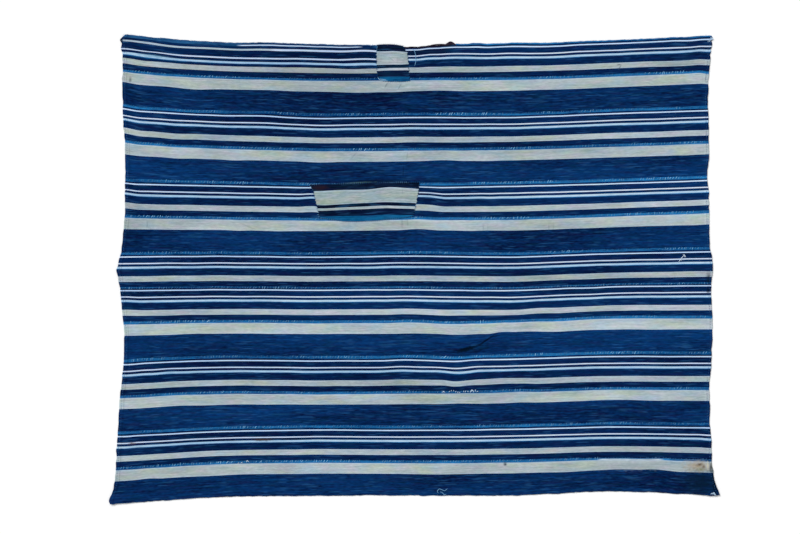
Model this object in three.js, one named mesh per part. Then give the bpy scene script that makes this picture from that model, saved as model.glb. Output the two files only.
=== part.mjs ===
// Striped cotton wrapper: narrow handwoven strips sewn edge to edge, with two sewn-on patches,
// laid out flat. Millimetres, +X along the strips, +Y across them to the top edge, +Z up.
// The origin is under the middle of the cloth, on the surface that it lies on.
import * as THREE from 'three';

// Thickness of a strip in its middle and at a woven edge, and how wide that edge is
const CLOTH = 1.8;
const SELVEDGE = 1.2;
const SELVEDGE_WIDTH = 3;

// Hem: a strip's end turned under itself, rounded at the fold and stepping down to the single cloth
const HEM = 2.8;
const HEM_FOLD = 2.2;
const HEM_WIDTH = 10;
const HEM_ROUND = 2;
const HEM_STEP = 1.5;

// Patch: a thinner cloth with its edges pressed flat
const PATCH = 1.6;
const PATCH_EDGE = 1.1;
const PATCH_ROUND = 2.5;

// Clearance between two pieces that are sewn together
const GAP = 0.3;

// Places along a strip: columns of points between the hems, and the stations of the sewn lines
const COLUMN_PITCH = 40;
const COLUMN_REACH = 700;
const STATION_PITCH = 240;
const FIRST_STATION = -720;

// Where the topmost strip's two lengths meet under the patch
const JOIN = -50;

// Middle of the cloth's own box in the heights and lengths below
const CENTRE = { x: -1, y: -1.8 };

// Sewn lines from the top edge down: where each ends at the left and right hems, and its height
// above the middle of the cloth at seven stations, one pitch apart from left to right.
const LINES = [
  { left: -731, right: 746, heights: [583, 567, 562, 555, 565, 571, 583] },
  { left: -728, right: 736, heights: [493, 480, 475, 476, 477, 484, 495] },
  { left: -728, right: 733, heights: [406, 393, 386, 388, 388, 397, 405] },
  { left: -723, right: 736, heights: [317, 305, 299, 300, 302, 309, 317] },
  { left: -722, right: 732, heights: [222, 217, 212, 212, 216, 222, 230] },
  { left: -723, right: 737, heights: [132, 128, 125, 127, 127, 135, 143] },
  { left: -733, right: 739, heights: [40, 41, 39, 42, 39, 47, 52] },
  { left: -734, right: 742, heights: [-48, -46, -47, -46, -48, -39, -36] },
  { left: -727, right: 745, heights: [-134, -130, -131, -130, -132, -120, -119] },
  { left: -726, right: 743, heights: [-227, -219, -220, -219, -216, -209, -209] },
  { left: -735, right: 737, heights: [-318, -308, -309, -307, -305, -298, -298] },
  { left: -741, right: 738, heights: [-408, -397, -393, -394, -391, -386, -387] },
  { left: -746, right: 743, heights: [-497, -483, -480, -481, -479, -473, -476] },
  { left: -765, right: 763, heights: [-585, -570, -567, -566, -566, -556, -566] },
];

// Strips from the top down: the line above each, its cloth, and how far its hemmed ends bow to the
// right of the straight. The topmost strip is two lengths.
const STRIPS = [
  { name: 'strip_01_left', line: 0, cloth: 'banded', leftBow: -1, joinedAt: 'right' },
  { name: 'strip_01_right', line: 0, cloth: 'banded', rightBow: 0, joinedAt: 'left' },
  { name: 'strip_02', line: 1, cloth: 'broad', leftBow: -1, rightBow: 0 },
  { name: 'strip_03', line: 2, cloth: 'banded', leftBow: -2, rightBow: 1 },
  { name: 'strip_04', line: 3, cloth: 'broad', leftBow: 0, rightBow: 2 },
  { name: 'strip_05', line: 4, cloth: 'banded', leftBow: -1, rightBow: 1 },
  { name: 'strip_06', line: 5, cloth: 'broad', leftBow: 0, rightBow: 0 },
  { name: 'strip_07', line: 6, cloth: 'banded', leftBow: -8, rightBow: 5 },
  { name: 'strip_08', line: 7, cloth: 'banded', leftBow: -1, rightBow: -1 },
  { name: 'strip_09', line: 8, cloth: 'broad', leftBow: 2, rightBow: 1 },
  { name: 'strip_10', line: 9, cloth: 'banded', leftBow: 0, rightBow: 1 },
  { name: 'strip_11', line: 10, cloth: 'broad', leftBow: 0, rightBow: 1 },
  { name: 'strip_12', line: 11, cloth: 'banded', leftBow: 0, rightBow: 2 },
  { name: 'strip_13', line: 12, cloth: 'broad', leftBow: 5, rightBow: -4 },
];

// Patches: rows from the top edge down, each with its two ends and its heights at five even places.
const PATCHES = [
  {
    name: 'patch_top',
    rows: [
      { left: -94, right: -28, heights: [560, 561, 561, 560, 557] },
      { left: -95, right: -16, heights: [543, 544, 544, 544, 542] },
      { left: -95, right: -13, heights: [508, 509, 509, 509, 510] },
      { left: -93, right: -11, heights: [481, 482, 482, 482, 481] },
      { left: -78, right: -11, heights: [470, 468, 468, 468, 470] },
    ],
  },
  {
    name: 'patch_middle',
    rows: [
      { left: -262, right: 13, heights: [211, 213, 215, 216, 216] },
      { left: -251, right: 12, heights: [194, 197, 200, 205, 197] },
      { left: -243, right: 3, heights: [158, 161, 163, 166, 158] },
      { left: -238, right: -3, heights: [131, 134, 135, 137, 133] },
      { left: -230, right: -8, heights: [125, 119, 120, 123, 127] },
    ],
  },
];

// Soft rises where the cloth stands off the surface: middle, half length, half width, turn in
// degrees and height. The last three are the curled corners.
const RISES = [
  { x: -30, y: 345, length: 105, width: 75, turn: 90, height: 2 },
  { x: -30, y: 15, length: 90, width: 70, turn: 90, height: 1.5 },
  { x: -680, y: -5, length: 130, width: 75, turn: 0, height: 3 },
  { x: 680, y: 10, length: 110, width: 70, turn: 0, height: 2.5 },
  { x: 155, y: -190, length: 120, width: 70, turn: 19, height: 2 },
  { x: 100, y: -300, length: 110, width: 75, turn: 0, height: 2 },
  { x: -400, y: -430, length: 140, width: 70, turn: -5, height: 1.5 },
  { x: -740, y: 590, length: 90, width: 80, turn: 0, height: 2.5 },
  { x: -770, y: -590, length: 110, width: 90, turn: 0, height: 3 },
  { x: 775, y: -570, length: 110, width: 90, turn: 0, height: 3 },
];

const FINISHES = {
  banded: { color: 0x2b5686, roughness: 0.92, metalness: 0 },
  broad: { color: 0x24507f, roughness: 0.92, metalness: 0 },
  patch: { color: 0x9dadab, roughness: 0.9, metalness: 0 },
};

const { lerp, degToRad } = THREE.MathUtils;

// Smooth curve through evenly spaced values, straight past both ends.
function curveThrough(values, place) {
  const last = values.length - 1;
  if (place <= 0) return lerp(values[0], values[1], place);
  if (place >= last) return lerp(values[last - 1], values[last], place - last + 1);
  const i = Math.floor(place);
  const before = i > 0 ? values[i - 1] : 2 * values[0] - values[1];
  const after = i + 2 <= last ? values[i + 2] : 2 * values[last] - values[last - 1];
  const slopeIn = (values[i + 1] - before) / 2;
  const slopeOut = (after - values[i]) / 2;
  const rise = values[i + 1] - values[i];
  const t = place - i;
  const bend = 3 * rise - 2 * slopeIn - slopeOut;
  const twist = slopeIn + slopeOut - 2 * rise;
  return values[i] + t * (slopeIn + t * (bend + t * twist));
}

function heightOfLine(line, x) {
  return curveThrough(line.heights, (x - FIRST_STATION) / STATION_PITCH);
}

// How far the cloth stands off the surface at a point: nothing over most of it.
function liftAt(x, y) {
  let lift = 0;
  for (const rise of RISES) {
    const turn = degToRad(rise.turn);
    const dx = x - rise.x;
    const dy = y - rise.y;
    const along = (dx * Math.cos(turn) + dy * Math.sin(turn)) / rise.length;
    const across = (dy * Math.cos(turn) - dx * Math.sin(turn)) / rise.width;
    const away = Math.min(Math.hypot(along, across), 1);
    lift += (rise.height * (1 + Math.cos(Math.PI * away))) / 2;
  }
  return lift;
}

// Closed sheet over a grid of points, rows from the top edge down and columns from left to right.
function sheetGeometry(grid) {
  const rows = grid.length;
  const columns = grid[0].length;
  const positions = [];
  for (const face of ['high', 'low']) {
    for (const point of grid.flat()) {
      positions.push(point.x - CENTRE.x, point.y - CENTRE.y, point[face]);
    }
  }
  const top = (r, c) => r * columns + c;
  const under = (r, c) => (rows + r) * columns + c;
  const index = [];
  for (let r = 0; r < rows - 1; r++) {
    for (let c = 0; c < columns - 1; c++) {
      index.push(top(r, c), top(r + 1, c), top(r + 1, c + 1));
      index.push(top(r, c), top(r + 1, c + 1), top(r, c + 1));
      index.push(under(r, c), under(r + 1, c + 1), under(r + 1, c));
      index.push(under(r, c), under(r, c + 1), under(r + 1, c + 1));
    }
  }
  const wall = (r0, c0, r1, c1) => {
    index.push(top(r0, c0), top(r1, c1), under(r1, c1));
    index.push(top(r0, c0), under(r1, c1), under(r0, c0));
  };
  for (let c = 0; c < columns - 1; c++) {
    wall(0, c, 0, c + 1);
    wall(rows - 1, c + 1, rows - 1, c);
  }
  for (let r = 0; r < rows - 1; r++) {
    wall(r + 1, 0, r, 0);
    wall(r, columns - 1, r + 1, columns - 1);
  }
  const geometry = new THREE.BufferGeometry();
  geometry.setAttribute('position', new THREE.Float32BufferAttribute(positions, 3));
  geometry.setIndex(index);
  geometry.computeVertexNormals();
  return geometry;
}

// Columns of a strip from left to right. Those of a hem are counted inwards from its fold, and the
// rest stand at places shared by all strips, so that two strips meet along the same line.
function stripColumns(strip) {
  const hem = [
    { inwards: 0, thick: HEM_FOLD },
    { inwards: HEM_ROUND, thick: HEM },
    { inwards: HEM_WIDTH, thick: HEM },
    { inwards: HEM_WIDTH + HEM_STEP, thick: CLOTH },
  ];
  const first = strip.joinedAt === 'left' ? JOIN + GAP / 2 : -COLUMN_REACH;
  const last = strip.joinedAt === 'right' ? JOIN - GAP / 2 : COLUMN_REACH;
  const columns = [];
  if (strip.joinedAt !== 'left') columns.push(...hem.map((place) => ({ ...place, end: 'left' })));
  if (strip.joinedAt === 'left') columns.push({ x: first, thick: CLOTH });
  for (let x = -COLUMN_REACH; x <= COLUMN_REACH; x += COLUMN_PITCH) {
    if (x >= first && x <= last) columns.push({ x, thick: CLOTH });
  }
  if (strip.joinedAt === 'right') columns.push({ x: last, thick: CLOTH });
  if (strip.joinedAt !== 'right') {
    columns.push(...hem.reverse().map((place) => ({ ...place, end: 'right' })));
  }
  return columns;
}

// Where a column stands at a share of its strip's width, with the hemmed ends bowed.
function placeOfColumn(strip, column, share) {
  if (!column.end) return column.x;
  const straight = lerp(LINES[strip.line][column.end], LINES[strip.line + 1][column.end], share);
  const bow = column.end === 'left' ? strip.leftBow : strip.rightBow;
  const inwards = column.end === 'left' ? column.inwards : -column.inwards;
  return straight + bow * 4 * share * (1 - share) + inwards;
}

function stripGrid(strip) {
  const upper = LINES[strip.line];
  const lower = LINES[strip.line + 1];
  const edge = SELVEDGE_WIDTH / (heightOfLine(upper, 0) - heightOfLine(lower, 0));
  return [0, edge, 0.5, 1 - edge, 1].map((share) =>
    stripColumns(strip).map((column) => {
      const x = placeOfColumn(strip, column, share);
      const y = lerp(heightOfLine(upper, x) - GAP / 2, heightOfLine(lower, x) + GAP / 2, share);
      const thinning = share === 0 || share === 1 ? CLOTH - SELVEDGE : 0;
      const low = liftAt(x, y);
      return { x, y, low, high: low + column.thick - thinning };
    }),
  );
}

// A row of a patch at a share of the way from one row to the next.
function rowBetween(row, next, share) {
  return {
    left: lerp(row.left, next.left, share),
    right: lerp(row.right, next.right, share),
    heights: row.heights.map((height, i) => lerp(height, next.heights[i], share)),
  };
}

// A row of a patch just inside an edge row, where the patch is at its full thickness.
function rowInside(edge, next) {
  return rowBetween(edge, next, PATCH_ROUND / Math.abs(edge.heights[2] - next.heights[2]));
}

// A patch lies one gap above the strips, which are flat beneath it.
function patchGrid(patch) {
  const rows = patch.rows;
  const first = rows[0];
  const last = rows.at(-1);
  const inner = [rowInside(first, rows[1]), ...rows.slice(1, -1), rowInside(last, rows.at(-2))];
  const edge = PATCH_ROUND / (first.right - first.left);
  const low = CLOTH + GAP;
  return [first, ...inner, last].map((row) =>
    [0, edge, 0.25, 0.5, 0.75, 1 - edge, 1].map((share) => {
      const x = lerp(row.left, row.right, share);
      const y = curveThrough(row.heights, share * (row.heights.length - 1));
      const atEdge = row === first || row === last || share === 0 || share === 1;
      return { x, y, low, high: low + (atEdge ? PATCH_EDGE : PATCH) };
    }),
  );
}

function piece(name, grid, finish) {
  const material = new THREE.MeshStandardMaterial(FINISHES[finish]);
  const mesh = new THREE.Mesh(sheetGeometry(grid), material);
  mesh.name = name;
  return mesh;
}

const wrapper = new THREE.Group();
for (const strip of STRIPS) wrapper.add(piece(strip.name, stripGrid(strip), strip.cloth));
for (const patch of PATCHES) wrapper.add(piece(patch.name, patchGrid(patch), 'patch'));

export default wrapper;
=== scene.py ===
"""Striped cotton wrapper, laid out flat, with the finish of every strip, patch and stitch.

Thirteen rows of narrow handwoven cotton strip are sewn edge to edge with whip stitches, hemmed at
both ends and mended with two patches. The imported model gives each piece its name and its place.
Shapes are worked out in millimetres from the middle of the cloth: +X along the strips, +Y across
them to the top edge, +Z up from the surface that the cloth lies on. Meshes are in metres.
"""

import logging
import math
from collections.abc import Sequence
from dataclasses import dataclass, field
from enum import Enum

import bpy
import numpy as np
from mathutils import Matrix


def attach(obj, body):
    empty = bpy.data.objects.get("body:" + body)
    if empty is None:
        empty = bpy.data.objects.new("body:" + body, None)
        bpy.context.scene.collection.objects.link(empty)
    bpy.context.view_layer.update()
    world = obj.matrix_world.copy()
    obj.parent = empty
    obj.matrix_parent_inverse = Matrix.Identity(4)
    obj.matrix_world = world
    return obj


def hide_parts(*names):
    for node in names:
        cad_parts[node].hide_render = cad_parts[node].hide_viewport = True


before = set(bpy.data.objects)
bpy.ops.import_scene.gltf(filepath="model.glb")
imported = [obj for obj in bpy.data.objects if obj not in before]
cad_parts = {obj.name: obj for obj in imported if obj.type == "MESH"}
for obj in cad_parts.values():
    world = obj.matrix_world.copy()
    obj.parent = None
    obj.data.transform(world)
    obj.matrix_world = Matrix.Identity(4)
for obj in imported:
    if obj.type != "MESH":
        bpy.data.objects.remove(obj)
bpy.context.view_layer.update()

LOG = logging.getLogger("wrapper")

MM = 0.001
UV_NAME = "weave"
BODY = "root"

# Middle of the cloth's own box in the heights and lengths below
CENTRE_X = -1.0
CENTRE_Y = -1.8

# Thickness of the single cloth, and of its woven edge, which is thinner over a narrow width
CLOTH = 1.8
SELVEDGE = 1.2
SELVEDGE_WIDTH = 3.0

# Where the topmost strip's two lengths meet, and how far apart two sewn edges stay
JOIN = -50.0
SEAM_GAP = 0.06

# How much light the studio gives: a colour's own brightness times this is what the camera sees
LIGHT_LEVEL = 1.1


def ease(share: np.ndarray) -> np.ndarray:
    """Smooth step from 0 at 0 to 1 at 1."""
    t = np.clip(share, 0, 1)
    return t * t * (3 - 2 * t)


def bump(away: np.ndarray) -> np.ndarray:
    """Round hill: 1 at 0, falling to nothing at 1 and beyond."""
    return (1 + np.cos(np.pi * np.minimum(np.abs(away), 1))) / 2


def curve_through(values: Sequence[float], place: np.ndarray) -> np.ndarray:
    """Smooth curve through evenly spaced values, straight past both ends.

    Args:
        values: Values at the places 0, 1, 2 and so on.
        place: Where the curve is read.

    Returns:
        The curve's value at each place.
    """
    known = np.asarray(values, float)
    last = len(known) - 1
    padded = np.concatenate([[2 * known[0] - known[1]], known, [2 * known[-1] - known[-2]]])
    i = np.clip(np.floor(place).astype(int), 0, last - 1)
    t = place - i
    rise = known[i + 1] - known[i]
    slope_in = (padded[i + 2] - padded[i]) / 2
    slope_out = (padded[i + 3] - padded[i + 1]) / 2
    bend = 3 * rise - 2 * slope_in - slope_out
    twist = slope_in + slope_out - 2 * rise
    inside = known[i] + t * (slope_in + t * (bend + t * twist))
    before = known[0] + (known[1] - known[0]) * place
    after = known[-1] + (known[-1] - known[-2]) * (place - last)
    return np.where(place <= 0, before, np.where(place >= last, after, inside))


@dataclass(frozen=True)
class Wander:
    """Smooth random field between 0 and 1 that comes out the same on each run.

    Attributes:
        seed: Which field it is.
        length: Size of its features along X, in mm.
        width: Size of its features along Y, in mm.
    """

    seed: int
    length: float
    width: float = 1.0

    def at(self, x: np.ndarray, y: np.ndarray | float = 0.0) -> np.ndarray:
        """Value of the field at each point.

        Args:
            x: Places along X, in mm.
            y: Places along Y, in mm.

        Returns:
            Values from 0 to 1.
        """
        lattice = np.random.default_rng(self.seed).random((97, 89))
        across = np.asarray(x, float) / self.length + 31.0
        down = np.asarray(y, float) / self.width + 17.0
        i, j = np.floor(across).astype(int), np.floor(down).astype(int)
        s, t = ease(across - i), ease(down - j)
        rows, columns = lattice.shape

        def corner(di: int, dj: int) -> np.ndarray:
            """Lattice value at one corner of each cell."""
            return lattice[(i + di) % rows, (j + dj) % columns]

        upper = corner(0, 0) * (1 - s) + corner(1, 0) * s
        lower = corner(0, 1) * (1 - s) + corner(1, 1) * s
        return upper * (1 - t) + lower * t


@dataclass(frozen=True)
class Oval:
    """Oval place on the cloth.

    Attributes:
        x: Its middle along the strips, in mm.
        y: Its middle across them, in mm.
        length: Half its length, in mm.
        width: Half its width, in mm.
        turn: Turn of its length from +X, in degrees.
    """

    x: float
    y: float
    length: float
    width: float
    turn: float

    def apart(self, x: "np.ndarray | Wire", y: "np.ndarray | Wire") -> "np.ndarray | Wire":
        """Squared distance of a point from the middle, which is 1 at the rim."""
        turn = math.radians(self.turn)
        dx, dy = x - self.x, y - self.y
        along = (dx * math.cos(turn) + dy * math.sin(turn)) / self.length
        across = (dy * math.cos(turn) - dx * math.sin(turn)) / self.width
        return along * along + across * across


@dataclass(frozen=True)
class Hill(Oval):
    """Soft hill in something that varies over the cloth, with its value in the middle, in mm."""

    amount: float

    def at(self, x: np.ndarray, y: np.ndarray) -> np.ndarray:
        """Value of the hill at each point, in mm."""
        return self.amount * bump(np.sqrt(self.apart(x, y)))

    def shaded(self, x: "Wire", y: "Wire") -> "Wire":
        """Value of the hill at each shaded point, in mm."""
        nearness = (1.0 - self.apart(x, y)).clamped()
        return nearness * nearness * self.amount


# Places where the cloth stands off the surface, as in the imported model; the last three are its corners
RISES = (
    Hill(-30, 345, 105, 75, 90, 2.0),
    Hill(-30, 15, 90, 70, 90, 1.5),
    Hill(-680, -5, 130, 75, 0, 3.0),
    Hill(680, 10, 110, 70, 0, 2.5),
    Hill(155, -190, 120, 70, 19, 2.0),
    Hill(100, -300, 110, 75, 0, 2.0),
    Hill(-400, -430, 140, 70, -5, 1.5),
    Hill(-740, 590, 90, 80, 0, 2.5),
    Hill(-770, -590, 110, 90, 0, 3.0),
    Hill(775, -570, 110, 90, 0, 3.0),
)

# Creases, each a narrow ridge
CREASES = (
    Hill(-24, 247, 38, 5, 88, 0.9),
    Hill(-24, 330, 60, 9, 92, 0.8),
    Hill(-27, 120, 70, 8, 90, 0.7),
    Hill(-27, -20, 90, 8, 88, 0.8),
    Hill(155, -183, 78, 6, 19, 1.3),
    Hill(-72, 455, 24, 4, 62, 1.1),
    Hill(-34, 452, 26, 4, 58, 1.1),
    Hill(-415, 104, 42, 4, -22, 0.7),
    Hill(172, 102, 16, 4, 90, 0.6),
    Hill(334, 104, 16, 4, 90, 0.6),
    Hill(-30, 112, 16, 4, 90, 0.6),
    Hill(345, 277, 16, 4, 90, 0.6),
    Hill(-10, 412, 70, 7, 4, 0.7),
    Hill(60, -318, 90, 8, -6, 0.9),
    Hill(-380, -440, 90, 8, -4, 0.8),
    Hill(-660, 8, 70, 9, -12, 0.9),
    Hill(670, -2, 60, 9, 14, 0.9),
)


# Creases finer than the mesh, which only the shading carries: a bump, and painted shade along each
FINE_CREASES = (
    Hill(-27, 243, 25, 2.6, 88, -1.3),
    Hill(-33, 260, 9, 2.2, -55, -0.9),
    Hill(-19, 262, 10, 2.2, 38, -0.9),
    Hill(-71, 459, 13, 2.6, 60, 1.0),
    Hill(-37, 456, 13, 2.6, 60, 1.0),
    Hill(-414, 105, 40, 2.0, -21, -0.7),
    Hill(-31, 115, 17, 5.0, 92, 0.8),
    Hill(-16, 114, 16, 2.4, 92, -0.6),
    Hill(172, 103, 15, 2.6, 90, 0.6),
    Hill(184, 103, 15, 2.2, 92, -0.5),
    Hill(336, 104, 15, 2.6, 90, 0.6),
    Hill(348, 104, 15, 2.2, 88, -0.5),
    Hill(-668, 112, 13, 2.6, 90, 0.7),
    Hill(-150, 283, 16, 2.4, 48, -0.6),
    Hill(-18, 284, 15, 3.2, 80, 0.7),
    Hill(125, -201, 36, 5.0, 15, -1.4),
    Hill(181, -179, 38, 3.0, 29, -1.4),
    Hill(150, -206, 60, 7.0, 19, 0.9),
    Hill(112, -151, 11, 2.4, 50, -0.6),
    Hill(208, -160, 9, 2.2, 40, -0.6),
    Hill(142, 412, 12, 2.6, 95, -0.8),
    Hill(54, 430, 9, 2.2, 70, -0.8),
    Hill(728, 477, 12, 2.0, 86, -0.9),
    Hill(512, 510, 8, 1.8, 10, -0.9),
    Hill(514, 503, 7, 1.8, 62, -0.9),
)

# Fine creases in the two patches
TOP_PATCH_CREASES = (Hill(-57, 524, 14, 2.2, -42, -0.8),)
MIDDLE_PATCH_CREASES = (
    Hill(-29, 193, 10, 2.2, 90, -0.6),
    Hill(-165, 196, 60, 1.8, 2, -0.5),
    Hill(-65, 198, 50, 1.8, -3, -0.5),
)

# Places where the cloth is pulled up towards its top edge, or down where the amount is negative
PULLS = (
    Hill(-745, 530, 80, 90, 0, 2.6),
    Hill(-690, 528, 130, 42, 0, 3.4),
    Hill(-745, 330, 70, 190, 0, 4.5),
    Hill(-590, 555, 90, 40, 0, -1.4),
    Hill(-370, 562, 80, 40, 0, 1.8),
    Hill(-745, 445, 60, 90, 0, 3.0),
    Hill(-560, 430, 80, 60, 0, -3.4),
    Hill(-600, 330, 60, 70, 0, -2.2),
    Hill(-600, 255, 50, 50, 0, -1.6),
    Hill(-380, 400, 110, 90, 0, 3.0),
    Hill(-285, 530, 70, 50, 0, 1.2),
    Hill(-120, 430, 110, 50, 0, -3.2),
    Hill(-225, 345, 70, 50, 0, -1.2),
    Hill(-240, 258, 70, 50, 0, -2.2),
    Hill(-255, 165, 40, 50, 0, 2.4),
    Hill(-350, 85, 70, 50, 0, -1.4),
    Hill(95, 545, 100, 70, 0, 4.2),
    Hill(660, 522, 90, 50, 0, -2.0),
    Hill(70, 430, 60, 50, 0, 1.0),
    Hill(320, 545, 100, 65, 0, -2.8),
    Hill(70, 255, 70, 60, 0, 3.2),
    Hill(12, 168, 70, 60, 0, 5.6),
    Hill(10, 85, 60, 50, 0, 3.2),
    Hill(185, 265, 50, 50, 0, -1.2),
    Hill(-120, 0, 70, 60, 0, -1.4),
    Hill(-30, -100, 55, 80, 0, 1.1),
    Hill(440, -60, 60, 90, 0, -1.4),
    Hill(110, -190, 70, 60, 0, -3.0),
    Hill(258, -165, 108, 72, 0, 4.6),
    Hill(222, -165, 34, 46, 0, 1.8),
    Hill(186, -165, 30, 36, 0, -1.2),
    Hill(82, -134, 68, 44, 0, -1.8),
    Hill(315, -110, 60, 40, 0, 1.8),
    Hill(85, -232, 68, 28, 0, -2.0),
    Hill(102, -290, 36, 28, 0, -2.2),
    Hill(215, -285, 50, 40, 0, 2.0),
    Hill(-110, -572, 62, 30, 0, 1.8),
    Hill(24, -572, 18, 14, 0, -3.0),
    Hill(354, -572, 36, 26, 0, -2.0),
    Hill(610, -520, 60, 75, 0, 3.0),
    Hill(690, -560, 60, 40, 0, 1.5),
    Hill(768, -562, 24, 26, 0, 3.5),
    Hill(155, 565, 36, 22, 0, 2.2),
    Hill(36, 530, 34, 52, 0, 1.8),
    Hill(-725, 532, 62, 46, 0, 3.4),
    Hill(-700, 567, 130, 24, 0, 4.0),
    Hill(-690, 524, 120, 14, 0, -2.4),
    Hill(-700, 490, 90, 14, 0, 2.0),
    Hill(-655, 584, 45, 16, 0, -1.6),
    Hill(-722, 440, 50, 60, 0, 3.0),
    Hill(-722, 350, 44, 50, 0, 2.4),
    Hill(-722, 175, 44, 60, 0, 2.2),
    Hill(-722, -90, 44, 50, 0, 2.2),
    Hill(-722, -430, 34, 50, 0, -1.2),
    Hill(-540, 440, 90, 50, 0, -2.0),
    Hill(-150, 440, 130, 50, 0, -1.0),
    Hill(-590, 255, 60, 50, 0, -1.2),
    Hill(-450, 260, 40, 50, 0, -1.4),
    Hill(50, 172, 34, 50, 0, 1.2),
    Hill(190, 172, 30, 50, 0, -1.0),
    Hill(-440, 82, 40, 50, 0, -1.2),
    Hill(140, 82, 50, 50, 0, -1.2),
    Hill(700, 90, 50, 50, 0, -1.2),
    Hill(-360, -180, 60, 40, 0, -1.0),
    Hill(590, -165, 70, 50, 0, -1.2),
    Hill(-720, -240, 55, 90, 0, -2.2),
    Hill(-610, -265, 50, 50, 0, 1.5),
    Hill(-40, -265, 60, 50, 0, 1.3),
    Hill(112, -262, 60, 44, 0, -4.6),
    Hill(260, -300, 60, 80, 0, 2.4),
    Hill(-610, -340, 90, 60, 0, 1.8),
    Hill(115, -350, 60, 50, 0, 1.2),
    Hill(500, -345, 110, 70, 0, 2.2),
    Hill(-510, -522, 110, 55, 0, -1.6),
    Hill(55, -522, 110, 55, 0, -2.0),
    Hill(380, -522, 80, 55, 0, -1.8),
    Hill(-735, 165, 50, 90, 0, 2.0),
    Hill(-30, -215, 60, 70, 0, 1.6),
    Hill(590, -530, 50, 50, 0, 1.5),
    Hill(742, 525, 36, 90, 0, -3.2),
    Hill(690, 566, 50, 24, 0, -1.6),
    Hill(735, 493, 26, 16, 0, -2.0),
    Hill(744, 445, 40, 46, 0, -2.8),
    Hill(680, 262, 44, 50, 0, -1.8),
    Hill(740, -430, 36, 46, 0, -2.2),
    Hill(575, -520, 60, 50, 0, 1.6),
    Hill(-665, -530, 42, 50, 0, 1.8),
    Hill(-115, 536, 85, 48, 0, 4.0),
    Hill(-150, 500, 90, 18, 0, -2.6),
    Hill(-42, 441, 55, 24, 0, -2.0),
    Hill(-665, 531, 80, 13, 0, 2.6),
    Hill(520, -507, 75, 26, 0, 2.4),
)

# Places where sun and wear have faded the dye more, or less where the amount is negative
FADES = (
    Hill(650, 200, 400, 190, 0, 0.38),
    Hill(-170, 420, 420, 170, 0, -0.33),
    Hill(180, -125, 800, 140, 0, 0.32),
    Hill(-54, 512, 62, 62, 0, 0.45),
    Hill(-160, 70, 230, 70, 0, -0.28),
    Hill(-350, 190, 210, 75, 0, -0.26),
    Hill(520, -545, 330, 62, 0, -0.28),
    Hill(0, 422, 70, 24, 0, 0.35),
)

# Places where an end is drawn in to the right, or to the left where the amount is negative
TUCKS = (
    Hill(-735, 590, 60, 20, 0, 12.5),
    Hill(-735, 566, 40, 9, 0, -4.5),
    Hill(-735, 545, 40, 11, 0, -1.6),
    Hill(-728, 526, 40, 13, 0, 2.0),
    Hill(-735, 472, 40, 12, 0, -2.0),
    Hill(-742, -3, 40, 11, 0, -2.4),
    Hill(-745, -453, 40, 11, 0, -2.2),
    Hill(-762, -573, 40, 12, 0, -2.4),
    Hill(-765, -594, 50, 15, 0, 9.5),
    Hill(746, 586, 60, 7, 0, -4.0),
    Hill(746, 571, 40, 4, 0, -3.0),
    Hill(745, 552, 30, 4, 0, -1.6),
    Hill(742, 538, 30, 7, 0, -1.6),
    Hill(737, 472, 40, 12, 0, -1.2),
    Hill(735, 247, 40, 14, 0, -1.4),
    Hill(735, 195, 40, 16, 0, 1.8),
    Hill(737, 97, 40, 14, 0, -1.2),
    Hill(741, -203, 40, 12, 0, -1.2),
    Hill(741, -278, 40, 14, 0, -1.4),
    Hill(745, -503, 40, 11, 0, 1.4),
)


@dataclass(frozen=True)
class Lie:
    """How the cloth lies: its rises, creases and small unevenness, and its wander in the plane."""

    rises: tuple[Hill, ...] = RISES
    creases: tuple[Hill, ...] = CREASES
    pulls: tuple[Hill, ...] = PULLS
    tucks: tuple[Hill, ...] = TUCKS
    swell: Wander = Wander(seed=3, length=95, width=55)
    ripple: Wander = Wander(seed=4, length=38, width=26)
    drift: Wander = Wander(seed=5, length=62, width=150)
    swell_height: float = 0.55
    ripple_height: float = 0.4
    drift_width: float = 0.9

    def lift(self, x: np.ndarray, y: np.ndarray) -> np.ndarray:
        """Height of the cloth's underside over the surface, in mm."""
        uneven = self.swell_height * self.swell.at(x, y) + self.ripple_height * self.ripple.at(x, y)
        return uneven + sum(hill.at(x, y) for hill in self.rises + self.creases)

    def shift(self, x: np.ndarray, y: np.ndarray) -> np.ndarray:
        """How far the cloth has wandered up at a point, in mm."""
        return self.drift_width * (self.drift.at(x, y) - 0.5) + sum(hill.at(x, y) for hill in self.pulls)

    def tuck(self, x: np.ndarray, y: np.ndarray) -> np.ndarray:
        """How far the cloth has wandered to the right at a point, in mm."""
        return sum(hill.at(x, y) for hill in self.tucks)


@dataclass(frozen=True)
class SewnLine:
    """Line where two strips are sewn together, or an outer edge of the cloth.

    Attributes:
        number: Its number from the top edge down.
        left: Where it meets the left hem, in mm.
        right: Where it meets the right hem, in mm.
        heights: Its height above the middle at seven even stations, in mm.
    """

    number: int
    left: float
    right: float
    heights: tuple[float, ...]
    first_station: float = -720.0
    pitch: float = 240.0

    def height(self, x: np.ndarray) -> np.ndarray:
        """Height of the line above the middle of the cloth, in mm."""
        return curve_through(self.heights, (np.asarray(x, float) - self.first_station) / self.pitch)

    def pucker(self, x: np.ndarray) -> np.ndarray:
        """How far the stitching puckers the cloth up along the line, in mm."""
        near_patch = bump((x - -60) / 190) if self.number in (0, 1, 4, 5) else 0.0
        return 0.55 * Wander(seed=40 + self.number, length=13).at(x) * (1 - np.minimum(near_patch * 2, 1))


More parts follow.
